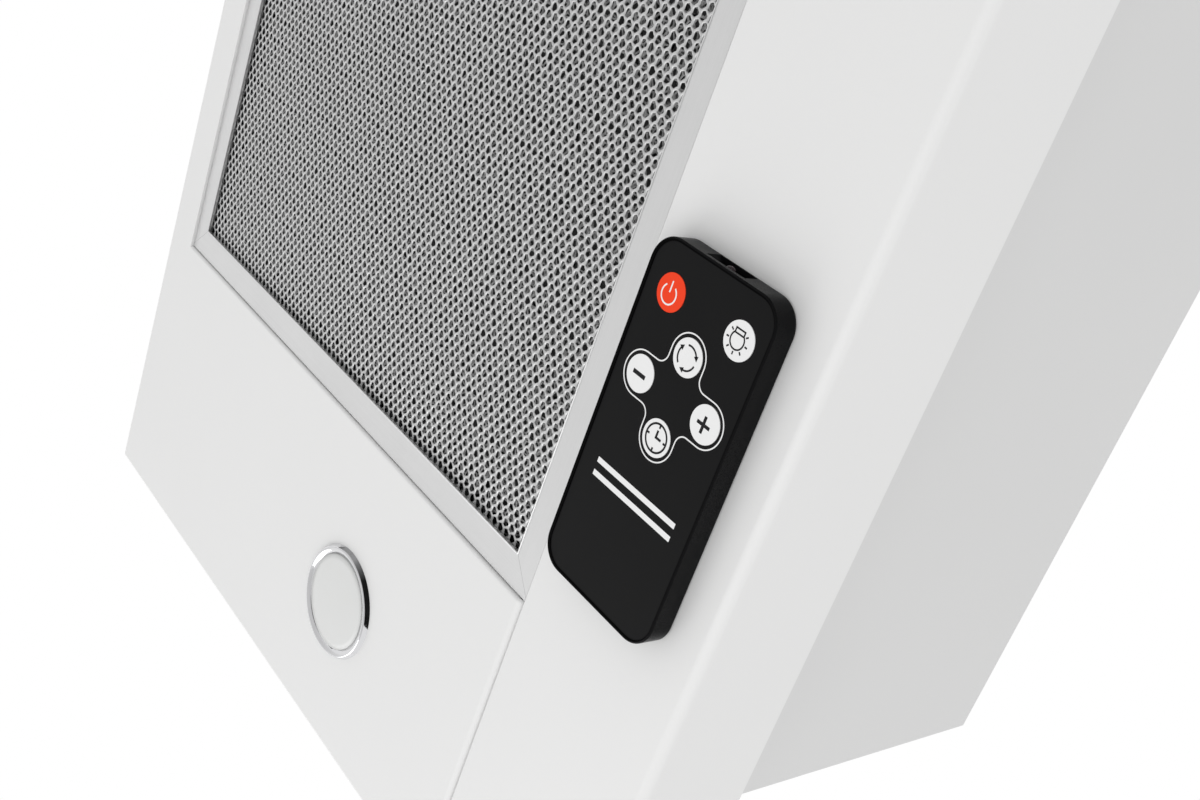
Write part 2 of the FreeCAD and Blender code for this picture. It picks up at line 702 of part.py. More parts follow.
def mesh_sheet(corners, margin):
    """One flat net: a sheet with staggered six-sided gaps that keep a margin from its outline."""
    pitch = size("mesh_pitch")
    radius = (pitch - size("mesh_strand")) / math.sqrt(3)
    outline = Part.makePolygon([Vector(x, y, 0) for x, y in corners + corners[:1]])
    solid_face = Part.Face(outline)
    box = outline.BoundBox
    row_step = pitch * math.sqrt(3) / 2
    gaps = []
    for row in range(int(box.YLength / row_step) + 1):
        for column in range(int(box.XLength / pitch) + 2):
            x = box.XMin + (column + row % 2 / 2) * pitch
            centre = Vector(x, box.YMin + row * row_step, 0)
            inside = solid_face.isInside(centre, 0.01, True)
            if inside and outline.distToShape(Part.Vertex(centre))[0] > radius + margin:
                gaps.append(hexagon(centre, radius))
    face = Part.Face([outline] + gaps, "Part::FaceMakerBullseye")
    return face.extrude(Vector(0, 0, size("mesh_sheet")))


def net(label, shape, at):
    item = doc.addObject("Part::Feature", "net")
    item.Shape = shape
    node(label, place(item, at))


def grease_filter():
    frame = block((minus(FILTER_END), PAN_FRONT, FILTER_LOW), (FILTER_END, FILTER_REAR, FILTER_TOP))
    side = f"({FILTER_END} - filter_bar_end)"
    front = f"({PAN_FRONT} + filter_bar_front)"
    mouth_high = (side, f"{FILTER_REAR} - filter_bar_front", LIP_TOP)
    mouth = block((minus(side), front, f"{FILTER_LOW} - foil"), mouth_high)
    low = (f"-{FILTER_END} + foil", f"{PAN_FRONT} + foil", f"{FILTER_LOW} + foil")
    groove = block(low, (f"{FILTER_END} - foil", f"{FILTER_REAR} - foil", f"{FILTER_TOP} - foil"))
    parts = [cut(frame, [mouth, groove])]
    for lug in ("-lug_spacing / 2", "lug_spacing / 2"):
        start = (f"{lug} - lug_width / 2", f"{FILTER_REAR} - foil", LUG_LOW)
        stop = (f"{lug} + lug_width / 2", f"{FILTER_REAR} + lug_reach", f"{LUG_LOW} + lug_thickness")
        parts.append(block(start, stop))
    bed_low = (minus(BED_SIDE), f"{PAN_FRONT} + foil", FILTER_LOW)
    parts.append(block(bed_low, (BED_SIDE, BED_REAR, FILTER_TOP)))
    recess_low = ("-latch_width / 2 - play", f"{LATCH_FRONT} - play", f"{FILTER_LOW} - foil")
    recess = block(recess_low, ("latch_width / 2 + play", RECESS_REAR, f"{FILTER_LOW} + latch_height + play"))
    slot_rear = f"{LATCH_FRONT} + latch_post + latch_travel + play"
    slot = block(
        ("-latch_post_width / 2 - play", f"{LATCH_FRONT} - play", FILTER_LOW),
        ("latch_post_width / 2 + play", slot_rear, LIP_TOP),
    )
    node("filter_frame", cut(fused(parts), [recess, slot]))

    pad_low = ("-latch_width / 2", LATCH_FRONT, FILTER_LOW)
    thumb = block(pad_low, ("latch_width / 2", f"{LATCH_FRONT} + latch_pad", f"{FILTER_LOW} + latch_height"))
    scoop = rod(
        "latch_pad / 2",
        "latch_width / 2",
        ("-latch_width / 4", f"{LATCH_FRONT} + latch_pad / 2", f"{FILTER_LOW} - latch_pad / 3"),
        "x",
    )
    post_low = ("-latch_post_width / 2", LATCH_FRONT, f"{FILTER_LOW} + latch_height / 2")
    toe_top = f"{TOE_LOW} + latch_toe"
    post = block(post_low, ("latch_post_width / 2", f"{LATCH_FRONT} + latch_post", toe_top))
    toe_low = ("-latch_post_width / 2", f"{LATCH_FRONT} - play - latch_hold", TOE_LOW)
    toe = block(toe_low, ("latch_post_width / 2", f"{LATCH_FRONT} + latch_post", toe_top))
    node("filter_latch", fused([cut(thumb, [scoop]), post, toe]))


def filter_mesh():
    half_length = size("hood_width") / 2 - size("lamp_panel") - size("filter_clear") - size("foil")
    half_length -= size("fit_gap")
    span = size("housing_depth") + size("box_setback") - size("strip_depth") - size("seam_gap") / 2
    depth = span - size("rear_strip") - size("filter_clear") - 2 * size("foil") - 2 * size("fit_gap")
    bed = size("latch_width") / 2 + size("latch_bed_side") + size("fit_gap")
    recess = size("front_rail_depth") + size("latch_pad") + size("latch_travel") + 2 * size("play")
    bed_depth = recess + size("latch_bed_wall") - size("foil")
    corners = [
        (-half_length, 0),
        (-bed, 0),
        (-bed, bed_depth),
        (bed, bed_depth),
        (bed, 0),
        (half_length, 0),
        (half_length, depth),
        (-half_length, depth),
    ]
    lower = mesh_sheet(corners, size("filter_bar_end") - size("foil"))
    upper = lower.copy()
    upper.translate(Vector(0, 0, size("filter_thickness") - 2 * size("foil") - size("mesh_sheet")))
    at = ("0", f"{PAN_FRONT} + foil + fit_gap", f"{FILTER_LOW} + foil")
    net("filter_mesh", Part.makeCompound([lower, upper]), at)


def visor_filter():
    side = f"({FLANGE} - fit_gap)"
    front = f"({VISOR_REAR} + play)"
    rear = f"({DECK_REAR} - play)"
    low = f"({DRAWER_LOW} + steel)"
    top = f"({low} + visor_filter_thickness)"
    frame = block((minus(side), front, low), (side, rear, top))
    mouth_low = (f"-{side} + filter_bar_end", f"{front} + filter_bar_front", f"{low} - foil")
    mouth = block(mouth_low, (f"{side} - filter_bar_end", f"{rear} - filter_bar_front", f"{top} + foil"))
    groove_low = (f"-{side} + foil", f"{front} + foil", f"{low} + foil")
    groove = block(groove_low, (f"{side} - foil", f"{rear} - foil", f"{top} - foil"))
    node("visor_filter_frame", cut(frame, [mouth, groove]))
    panel_edge = size("hood_width") / 2 - size("lamp_panel")
    half_length = panel_edge - size("filter_clear") - size("steel") - 2 * size("fit_gap") - size("foil")
    visor_rear = size("strip_depth") - size("box_setback") - size("seam_gap") / 2
    depth = size("visor_travel") + size("deck_overlap") - visor_rear
    depth -= 2 * (size("play") + size("foil") + size("fit_gap"))
    corners = [(-half_length, 0), (half_length, 0), (half_length, depth), (-half_length, depth)]
    sheet = mesh_sheet(corners, size("filter_bar_end") - size("foil"))
    net("visor_filter_mesh", sheet, ("0", f"{front} + foil + fit_gap", f"{low} + foil"))


# Housing and outlet


def housing_screw_places():
    """Height and depth of the screws that hold the front and back panels' flanges."""
    for y in (f"{BOX_FRONT} + steel + panel_flange / 2", f"{REAR} - steel - panel_flange / 2"):
        for z in ("screw_margin", "housing_height - screw_margin"):
            yield y, z


def housing():
    side = BOX_SIDE
    front = f"({BOX_FRONT} + steel)"
    rear = f"({REAR} - steel)"
    shell = block((minus(side), front, "0"), (side, rear, "housing_height"))
    room_low = (f"-{side} + steel", f"{front} - steel", "-steel")
    room = block(room_low, (f"{side} - steel", f"{rear} + steel", BOX_TOP))
    outlet = rod("collar_radius - collar_wall - collar_ledge", "3 * steel", ("0", "0", f"{BOX_TOP} - steel"))
    gland = rod("gland_neck + play", "3 * steel", (GLAND_X, GLAND_Y, f"{BOX_TOP} - steel"))
    holes = []
    screws = []
    for y, z in housing_screw_places():
        holes.append(rod("screw_radius + fit_gap", f"2 * {side}", (minus(side), y, z), "x"))
        shank = rod("screw_radius", "screw_length", (f"{side} - screw_length", y, z), "x")
        screw = fused([shank, rod("screw_head", "screw_head_height", (side, y, z), "x")])
        screws += [screw, mirrored(screw)]
    below = f"{BOX_TOP} - steel"
    collar_holes = [rod("screw_radius + fit_gap", "4 * steel", (x, y, below)) for x, y in collar_places()]
    node("housing_wrap", cut(shell, [room, outlet, gland] + holes + collar_holes))
    node("housing_screws", together(screws))
    for name, near_y, far_y, flange_y in (
        ("front", BOX_FRONT, front, f"{front} + panel_flange"),
        ("back", rear, REAR, f"{rear} - panel_flange"),
    ):
        parts = [block((minus(side), near_y, "0"), (side, far_y, "housing_height"))]
        ends = (flange_y, far_y) if name == "back" else (near_y, flange_y)
        parts.append(block((f"{side} - 2 * steel", ends[0], "steel"), (f"{side} - steel", ends[1], BOX_TOP)))
        flange_low = (f"-{side} + steel", ends[0], "steel")
        parts.append(block(flange_low, (f"-{side} + 2 * steel", ends[1], BOX_TOP)))
        bores = []
        for y, z in housing_screw_places():
            bores.append(rod("screw_radius + fit_gap", f"2 * {side}", (minus(side), y, z), "x"))
        node(f"housing_{name}", cut(fused(parts), bores))


def collar_places():
    """Four screws round the outlet's flange."""
    reach = "((collar_radius + collar_flange / 2) * sqrt(0.5))"
    return [(x, y) for x in (reach, minus(reach)) for y in (reach, minus(reach))]


def outlet_collar():
    part = body("collar")
    profile = sketch(part, "XZ_Plane", "0")
    inner = "collar_radius - collar_wall"
    corners = [
        (f"{inner} - collar_ledge", "0"),
        ("collar_radius + collar_flange", "0"),
        ("collar_radius + collar_flange", "collar_base"),
        ("collar_radius", "collar_base"),
        ("collar_radius", "collar_base + collar_height"),
        (inner, "collar_base + collar_height"),
        (inner, "collar_base"),
        (f"{inner} - collar_ledge", "collar_base"),
    ]
    polygon(profile, corners)
    turned(part, profile)
    place(part, ("0", "0", "housing_height"))
    tools = [rod("pin_radius + fit_gap", "2 * collar_radius", ("-collar_radius", "0", PIN_Z), "x")]
    screws = []
    for x, y in collar_places():
        tools.append(rod("screw_radius + fit_gap", "3 * collar_base", (x, y, "housing_height - collar_base")))
        shank = rod("screw_radius", "screw_length + collar_base", (x, y, "housing_height - screw_length"))
        head = rod("screw_head", "screw_head_height", (x, y, "housing_height + collar_base"))
        screws.append(fused([shank, head]))
    node("outlet_collar", cut(part, tools))
    node("collar_screws", together(screws))
    reach = "(collar_radius - collar_wall / 3)"
    node("flap_pin", rod("pin_radius", f"2 * {reach}", (minus(reach), "0", PIN_Z), "x"))


def flaps():
    low = f"({PIN_Z} - pin_radius - knuckle_wall)"
    gap = "(knuckle_middle / 2 + 2 * play)"
    barrel = "(pin_radius + knuckle_wall)"
    for name, sign in (("front", "-"), ("rear", "")):
        disc = rod(FLAP_RADIUS, "flap_thickness", ("0", "0", low))
        keep_far = (f"-{FLAP_RADIUS}", f"{sign}flap_split", f"{low} - flap_thickness")
        keep_end = (FLAP_RADIUS, f"{sign}{FLAP_RADIUS}", f"{low} + 2 * flap_thickness")
        first, last = (keep_end[1], keep_far[1]) if name == "front" else (keep_far[1], keep_end[1])
        half = doc.addObject("Part::Common", "half")
        half.Base = disc
        half.Tool = block((keep_far[0], first, keep_far[2]), (keep_end[0], last, keep_end[2]))
        if name == "front":
            spans = [(gap, f"{gap} + knuckle_side"), (f"-{gap} - knuckle_side", minus(gap))]
        else:
            spans = [("-knuckle_middle / 2", "knuckle_middle / 2")]
        parts = [half]
        for start, stop in spans:
            parts.append(rod(barrel, f"{stop} - ({start})", (start, "0", PIN_Z), "x"))
            edge = "flap_split + flap_thickness"
            web = (minus(edge), "0") if name == "front" else ("0", edge)
            parts.append(block((start, web[0], low), (stop, web[1], f"{low} + flap_thickness")))
        bore = rod("pin_radius + fit_gap", f"2 * {FLAP_RADIUS}", (f"-{FLAP_RADIUS}", "0", PIN_Z), "x")
        node(f"flap_{name}", cut(fused(parts), [bore]))


def cable_gland():
    part = body("gland")
    profile = sketch(part, "XZ_Plane")
    cap = "gland_nut - gland_shoulder"
    corners = [
        ("gland_bore", "-steel - gland_depth"),
        ("gland_nut", "-steel - gland_depth"),
        ("gland_nut", "-steel"),
        ("gland_neck", "-steel"),
        ("gland_neck", "0"),
        ("gland_nut", "0"),
        ("gland_nut", "gland_rim"),
        (cap, "gland_rim"),
        (cap, "gland_height"),
        ("gland_bore", "gland_height"),
    ]
    polygon(profile, corners)
    turned(part, profile)
    node("cable_gland", place(part, (GLAND_X, GLAND_Y, "housing_height")))


# Blower


def scroll_wall(radius, at, start, sweep):
    low = (minus(BLOWER_SIDE), at[0], at[1])
    wide = sector(f"{radius} + blower_wall", "blower_width", low, start, sweep)
    return cut(wide, [rod(radius, "blower_width", low, "x")])


def blower():
    front = f"({BLOWER_Y} - scroll_radius - scroll_growth)"
    throat = f"({BLOWER_Y} - tongue_radius)"
    tongue_z = f"({BLOWER_Z} + scroll_radius + tongue_radius)"
    rise = f"({BLOWER_Z} + scroll_growth)"
    left = minus(BLOWER_SIDE)
    band = [
        scroll_wall("scroll_radius", (BLOWER_Y, BLOWER_Z), -90, 180),
        scroll_wall("(scroll_radius + scroll_growth)", (BLOWER_Y, rise), 180, 90),
        scroll_wall("(tongue_radius - blower_wall)", (BLOWER_Y, tongue_z), 180, 90),
        block((left, f"{front} - blower_wall", rise), (BLOWER_SIDE, front, BOX_TOP)),
        block((left, throat, tongue_z), (BLOWER_SIDE, f"{throat} + blower_wall", BOX_TOP)),
    ]
    node("blower_band", fused(band))

    outer = "(scroll_radius + blower_wall)"
    edge = f"({front} - blower_wall)"
    side_x = f"({BLOWER_SIDE} + blower_wall)"
    plate = [
        sector(outer, "blower_wall", (BLOWER_SIDE, BLOWER_Y, BLOWER_Z), -90, 180),
        sector(f"{outer} + scroll_growth", "blower_wall", (BLOWER_SIDE, BLOWER_Y, rise), 180, 90),
        block((BLOWER_SIDE, edge, rise), (side_x, BLOWER_Y, f"{BLOWER_Z} + {outer}")),
        block((BLOWER_SIDE, edge, f"{BLOWER_Z} + {outer}"), (side_x, f"{throat} + blower_wall", BOX_TOP)),
    ]
    inlet = rod("inlet_radius", "3 * blower_wall", (f"{BLOWER_SIDE} - blower_wall", BLOWER_Y, BLOWER_Z), "x")
    right = cut(fused(plate), [inlet])
    node("blower_side_right", right)
    node("blower_side_left", mirrored(right))

    reach = "(inlet_radius + bracket_overlap)"
    low = (side_x, f"{BLOWER_Y} - bracket_width / 2", f"{BLOWER_Z} - {reach}")
    high = (f"{side_x} + bracket_wall", f"{BLOWER_Y} + bracket_width / 2", f"{BLOWER_Z} + {reach}")
    strap = block(low, high)
    start = (f"{side_x} - bracket_wall", BLOWER_Y, BLOWER_Z)
    hole = rod("shaft_radius + play", "3 * bracket_wall", start, "x")
    node("motor_bracket", cut(strap, [hole]))

    motor_x = f"({side_x} + bracket_wall)"
    can = rod("motor_radius", "motor_length", (motor_x, BLOWER_Y, BLOWER_Z), "x")
    neck = rod("motor_radius / 2", "motor_length / 8", (f"{motor_x} + motor_length", BLOWER_Y, BLOWER_Z), "x")
    bore = rod("shaft_radius + fit_gap", "shaft_depth + play", (motor_x, BLOWER_Y, BLOWER_Z), "x")
    node("motor", cut(fused([can, neck]), [bore]))
    shaft_length = f"{motor_x} + shaft_depth + hub_length / 2"
    node("motor_shaft", rod("shaft_radius", shaft_length, ("-hub_length / 2", BLOWER_Y, BLOWER_Z), "x"))


def impeller():
    part = body("fan")
    width = "(blower_width - 2 * fan_side_gap)"
    disc = sketch(part, "YZ_Plane")
    circle(disc, ("0", "0"), f"{FAN_RADIUS} - fan_ring / 2")
    pad(part, disc, "fan_ring", middle=True)
    boss = sketch(part, "YZ_Plane")
    circle(boss, ("0", "0"), "hub_radius")
    pad(part, boss, "hub_length", middle=True)
    for side in (1, -1):
        ring = sketch(part, "YZ_Plane", f"{side} * ({width} / 2 - fan_ring)")
        circle(ring, ("0", "0"), FAN_RADIUS)
        circle(ring, ("0", "0"), f"{FAN_RADIUS} - fan_ring")
        pad(part, ring, "fan_ring", reverse=side < 0)
    blade = sketch(part, "YZ_Plane")
    tip = f"{FAN_RADIUS} - fan_ring / 4"
    rectangle(blade, (f"{FAN_RADIUS} - blade_depth", "-blade_wall / 2"), (tip, "blade_wall / 2"))
    first = pad(part, blade, width, middle=True)
    pattern = part.newObject("PartDesign::PolarPattern", "blades")
    pattern.Originals = [first]
    pattern.Axis = (blade, ["N_Axis"])
    pattern.Angle = 360
    bind(pattern, "Occurrences", "blade_count")
    part.Tip = pattern
    doc.recompute()
    bore = sketch(part, "YZ_Plane", "hub_length / 2")
    circle(bore, ("0", "0"), "shaft_radius + fit_gap")
    pocket(part, bore, "hub_length")
    node("impeller", place(part, ("0", BLOWER_Y, BLOWER_Z)))


def control():
    x = f"(control_gap + steel - {BOX_SIDE})"
    right = f"({x} + control_width)"
    half = "(control_depth / 2)"
    tray = block((x, minus(half), "0"), (right, half, "control_height"))
    inner_low = (f"{x} + control_wall", f"-{half} + control_wall", "control_wall")
    inner_high = (f"{right} - control_wall", f"{half} - control_wall", "control_height + control_wall")
    room = block(inner_low, inner_high)
    node("control_box", cut(tray, [room]))
    low = (f"{x} + control_wall + play", f"-{half} + control_wall + play", "control_wall")
    top = "control_wall + board_thickness"
    parts = [block(low, (f"{right} - control_wall - play", f"{half} - control_wall - play", top))]
    for place_index in range(int(size("relay_count"))):
        middle = f"(control_depth * ({place_index} + 0.5) / relay_count - control_depth / 2)"
        start = (f"{x} + control_width / 2 - relay_width / 2", f"{middle} - relay_width / 2", top)
        relay_side = f"{x} + control_width / 2 + relay_width / 2"
        stop = (relay_side, f"{middle} + relay_width / 2", f"{top} + relay_height")
        parts.append(block(start, stop))
    node("control_board", fused(parts))


# Remote control

KEYS = {
    "power": (0, 1),
    "light": (0, -1),
    "cycle": (1, 0),
    "minus": (2, 1),
    "plus": (2, -1),
    "timer": (3, 0),
}


def key_place(row, side):
    x = f"({REMOTE_TIP} + key_first + {row} * key_row)"
    return x, f"({REMOTE_Y} - key_shift + {side} * (remote_width / 2 - key_side))"


def remote_plan(inset):
    """Low and high corners, in plan, of the remote's outline drawn in by an inset."""
    low = (f"{REMOTE_TIP} + {inset}", f"{REMOTE_Y} - remote_width / 2 + {inset}")
    return low, (f"{REMOTE_TAIL} - {inset}", f"{REMOTE_Y} + remote_width / 2 - {inset}")


def remote_slab(name, inset, low_z, high_z):
    low, high = remote_plan(inset)
    return rounded_block(name, (*low, low_z), (*high, high_z), f"remote_corner - {inset}")


def tray_slot(play):
    """Corners of the battery tray, grown on all sides but its seat by a clearance."""
    low = (f"{TRAY_FRONT} - {play}", f"{REMOTE_Y} - {TRAY_SIDE} - {play}", f"{TRAY_LOW} - {play}")
    return low, (REMOTE_TAIL, f"{REMOTE_Y} + {TRAY_SIDE} + {play}", REMOTE_FLOOR)


def remote():
    case = remote_slab("case", "0", REMOTE_FACE, REMOTE_BACK)
    face, back = case.Shape.BoundBox.ZMin, case.Shape.BoundBox.ZMax
    rounded(case, "remote_edge", lambda edge: near(edge.BoundBox.ZMax, face))
    rounded(case, "remote_back_edge", lambda edge: near(edge.BoundBox.ZMin, back))
    recess = remote_slab("recess", "remote_rim", f"{REMOTE_FACE} - overlay_thickness", REMOTE_SHELF)
    room = remote_slab("room", "remote_wall", REMOTE_FACE, REMOTE_FLOOR)
    notch = body("notch")
    outline = sketch(notch, "XY_Plane", f"{REMOTE_FACE} + notch_cover")
    edge = "(notch_width / 2)"
    foot = "(notch_width / 2 - notch_slope)"
    corners = [
        (f"{REMOTE_TIP} - notch_depth", f"{REMOTE_Y} - {edge} - notch_slope"),
        (f"{REMOTE_TIP} + notch_depth", f"{REMOTE_Y} - {foot}"),
        (f"{REMOTE_TIP} + notch_depth", f"{REMOTE_Y} + {foot}"),
        (f"{REMOTE_TIP} - notch_depth", f"{REMOTE_Y} + {edge} + notch_slope"),
    ]
    polygon(outline, corners)
    pad(notch, outline, f"{REMOTE_BACK} - {REMOTE_FACE} - notch_cover - notch_lip")
    diode_z = f"({REMOTE_FLOOR} - diode_radius - fit_gap)"
    diode_hole = rod("diode_radius + fit_gap", "2 * remote_wall", (REMOTE_TIP, REMOTE_Y, diode_z), "x")
    slot_low, slot_high = tray_slot("fit_gap")
    slot = block(slot_low, (f"{REMOTE_TAIL} + remote_wall", *slot_high[1:]))
    magnets = []
    pockets = []
    for side in (1, -1):
        at = (f"remote_x + {side} * holder_magnet_spacing / 2", REMOTE_Y, REMOTE_FLOOR)
        magnets.append(rod("holder_magnet_radius", "holder_magnet_height", at))
        pockets.append(rod("holder_magnet_radius + fit_gap", "holder_magnet_height + fit_gap", at))
    node("remote_case", cut(case, [recess, room, notch, diode_hole, slot] + pockets))
    node("remote_magnets", together(magnets))

    dome = doc.addObject("Part::Sphere", "dome")
    bind(dome, "Radius", "diode_radius")
    stem_at = (f"{REMOTE_TIP} + notch_depth + fit_gap", REMOTE_Y, diode_z)
    stem = rod("diode_radius", "diode_length", stem_at, "x")
    place(dome, stem_at)
    node("remote_ir_led", fused([dome, stem]))

    sheet = remote_slab("sheet", "(remote_rim + fit_gap)", f"{REMOTE_FACE} + overlay_recess", REMOTE_SHELF)
    holes = []
    for name, (row, side) in KEYS.items():
        x, y = key_place(row, side)
        top = f"{REMOTE_FACE} + overlay_recess / 2"
        holes.append(rod("key_radius + fit_gap", "key_cap", (x, y, top)))
        stem_height = f"{REMOTE_FLOOR} - remote_board - key_travel - fit_gap - ({top})"
        cap = rod("key_radius", "key_cap", (x, y, top))
        node(f"key_{name}", fused([cap, rod("key_stem", stem_height, (x, y, top))]))
    node("remote_overlay", cut(sheet, holes))

    inside, outside = remote_plan("(remote_wall + play)")
    board_start = f"{REMOTE_TIP} + notch_depth + diode_length + 2 * fit_gap"
    low = (board_start, inside[1], f"{REMOTE_FLOOR} - remote_board")
    node("remote_board", block(low, (f"{TRAY_FRONT} - play", outside[1], REMOTE_FLOOR)))

    tray_low, tray_high = tray_slot("0")
    well = rod("cell_radius + play", "cell_height + fit_gap", (CELL_X, REMOTE_Y, TRAY_LOW))
    node("remote_tray", cut(block(tray_low, tray_high), [well]))
    node("remote_cell", rod("cell_radius", "cell_height", (CELL_X, REMOTE_Y, f"{TRAY_LOW} + fit_gap")))


base_pan()
front_rail()
mounting_plate()
lamp("left", "-1")
lamp("right", "1")
rails()
visor_front()
visor_caps()
visor_frame()
ir_lens()
visor_switch()
grease_filter()
filter_mesh()
visor_filter()
housing()
outlet_collar()
flaps()
cable_gland()
blower()
impeller()
control()
remote()
doc.recompute()

for item in doc.Objects:
    if {"Invalid", "Error"} & set(item.State):
        raise ValueError(f"{item.Label} failed: {item.State}")
for item in nodes:
    if item.Shape.isNull() or not item.Shape.isValid() or not item.Shape.Solids:
        raise ValueError(f"{item.Label} has no valid solid")

os.makedirs("parts", exist_ok=True)
for item in nodes:
    item.Shape.exportStep(f"parts/{item.Label}.step")
print(len(nodes), "sub-parts written")
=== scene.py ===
import json
import math

import bmesh
import bpy
from bmesh.types import BMEdge, BMFace, BMVert
from mathutils import Matrix, Vector


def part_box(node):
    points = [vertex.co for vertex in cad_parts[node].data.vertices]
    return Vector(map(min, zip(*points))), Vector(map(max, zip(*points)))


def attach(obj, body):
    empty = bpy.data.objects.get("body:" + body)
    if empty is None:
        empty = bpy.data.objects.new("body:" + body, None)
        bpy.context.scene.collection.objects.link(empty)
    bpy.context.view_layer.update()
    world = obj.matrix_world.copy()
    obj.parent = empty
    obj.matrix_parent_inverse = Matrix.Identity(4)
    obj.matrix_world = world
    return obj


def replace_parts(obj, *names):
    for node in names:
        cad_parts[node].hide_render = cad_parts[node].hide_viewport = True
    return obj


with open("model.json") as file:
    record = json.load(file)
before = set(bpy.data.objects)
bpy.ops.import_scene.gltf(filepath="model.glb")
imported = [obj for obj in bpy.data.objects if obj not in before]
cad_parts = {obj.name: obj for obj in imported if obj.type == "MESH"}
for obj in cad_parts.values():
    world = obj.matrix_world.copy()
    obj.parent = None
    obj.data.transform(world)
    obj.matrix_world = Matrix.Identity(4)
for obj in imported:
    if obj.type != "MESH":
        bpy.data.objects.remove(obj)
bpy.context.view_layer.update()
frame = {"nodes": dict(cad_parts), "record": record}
mm = 0.001
print("frame loaded:", len(frame["nodes"]), "pieces from the CAD model")


# Shader sockets that take plain maths

class Wire:
    def __init__(self, tree, socket=None):
        self.tree = tree
        self.socket = socket

    # any node: its type, then its settings, then the values or links of its sockets
    def node(self, kind, settings=None, sockets=None, out=0):
        made = self.tree.nodes.new(kind)
        for name, value in (settings or {}).items():
            setattr(made, name, value)
        for name, value in (sockets or {}).items():
            if isinstance(value, Wire):
                self.tree.links.new(value.socket, made.inputs[name])
            else:
                made.inputs[name].default_value = value
        return Wire(self.tree, made.outputs[out])

    def maths(self, operation, first, second):
        return self.node("ShaderNodeMath", {"operation": operation}, {0: first, 1: second})

    def __add__(self, other):
        return self.maths("ADD", self, other)

    def __sub__(self, other):
        return self.maths("SUBTRACT", self, other)

    def __mul__(self, other):
        return self.maths("MULTIPLY", self, other)

    def __truediv__(self, other):
        return self.maths("DIVIDE", self, other)

    def __gt__(self, other):
        return self.maths("GREATER_THAN", self, other)

    def __lt__(self, other):
        return self.maths("LESS_THAN", self, other)

    def __or__(self, other):
        return self.maths("MAXIMUM", self, other)

    def __and__(self, other):
        return self.maths("MINIMUM", self, other)

    def __abs__(self):
        return self.maths("ABSOLUTE", self, 0.0)

    # the point on the piece, in metres
    def spot(self):
        return self.node("ShaderNodeTexCoord", out="Object")

    def noise(self, scale, detail, stretch=(1, 1, 1)):
        place = self.node("ShaderNodeMapping", {}, {"Vector": self.spot(), "Scale": stretch})
        return self.node("ShaderNodeTexNoise", {}, {"Vector": place, "Scale": scale, "Detail": detail})

    def blend(self, share, first, second):
        return self.node("ShaderNodeMix", {"data_type": "RGBA"}, {0: share, 6: first, 7: second}, out=2)

    def bump(self, height, depth):
        return self.node("ShaderNodeBump", {}, {"Height": height, "Distance": depth})


def grey(tone):
    return (tone, tone, tone, 1.0)


def newFinish(name, recipe, settings):
    material = bpy.data.materials.new(name)
    material.use_nodes = True
    tree = material.node_tree
    shader = tree.nodes["Principled BSDF"]
    for socket, value in recipe(Wire(tree), settings).items():
        if isinstance(value, Wire):
            tree.links.new(value.socket, shader.inputs[socket])
        else:
            shader.inputs[socket].default_value = value
    return material


# Finishes

octaves = {"plain": 1.0, "fine": 2.0, "peel": 2.5, "rich": 3.0}  # detail of a noise


# powder coat: fine orange peel, faint cloud in tone and gloss
def paintRecipe(wire, look):
    peel = wire.noise(look["peelScale"], octaves["peel"])
    grain = wire.noise(look["grainScale"], octaves["plain"])
    cloud = wire.noise(look["cloudScale"], octaves["rich"])
    return {
        "Base Color": wire.blend(cloud, look["tone"], look["toneDeep"]),
        "Roughness": cloud * look["glossSpread"] + grain * look["glossSpread"] + look["roughness"],
        "Normal": wire.bump(peel + grain * look["grainShare"], look["peelDepth"]),
        "Specular IOR Level": look["specular"],
    }


powderCoat = {
    "tone": (0.825, 0.825, 0.822, 1), "toneDeep": (0.80, 0.80, 0.797, 1),
    "peelScale": 900.0, "grainScale": 3600.0, "grainShare": 0.25, "peelDepth": 0.012 * mm,
    "cloudScale": 9.0, "roughness": 0.36, "glossSpread": 0.06, "specular": 0.4,
}
# the housing's coat: the same white paint, toned darker as painted shade for the housing set back behind
# the visor
housingShadedCoat = {**powderCoat, "tone": (0.718, 0.718, 0.716, 1), "toneDeep": (0.698, 0.698, 0.696, 1)}
capPlastic = {
    "tone": (0.81, 0.81, 0.80, 1), "toneDeep": (0.79, 0.79, 0.775, 1),
    "peelScale": 2600.0, "grainScale": 5200.0, "grainShare": 0.5, "peelDepth": 0.010 * mm,
    "cloudScale": 14.0, "roughness": 0.40, "glossSpread": 0.05, "specular": 0.45,
}


# foil bars of a filter frame: drawing lines along each bar, a mitre line at each corner
def foilRecipe(wire, look):
    low, high = look["mouth"]
    axes = wire.node("ShaderNodeSeparateXYZ", {}, {"Vector": wire.spot()})
    across = Wire(wire.tree, axes.socket.node.outputs["Y"])
    pastEnd = abs(axes) - high[0]
    pastFront = abs(across - (low[1] + high[1]) / 2) - (high[1] - low[1]) / 2
    endBar = pastEnd > pastFront
    mitre = (abs(pastEnd - pastFront) < look["mitreLine"]) & (pastEnd > 0.0)
    alongX = wire.noise(look["lineScale"], octaves["rich"], (look["lineStretch"], 1, 1))
    alongY = wire.noise(look["lineScale"], octaves["rich"], (1, look["lineStretch"], 1))
    lines = alongX + (alongY - alongX) * endBar
    cloud = wire.noise(look["cloudScale"], octaves["rich"])
    share = look["lineShare"]
    brushed = wire.blend(lines * share + cloud * (1 - share), look["tone"], look["toneDeep"])
    return {
        "Base Color": wire.blend(mitre, brushed, look["mitreTone"]),
        "Roughness": lines * look["glossSpread"] + cloud * look["glossSpread"] + look["roughness"],
        "Metallic": look["metallic"],
        "Normal": wire.bump(lines - mitre * look["mitreDepth"], look["lineDepth"]),
    }


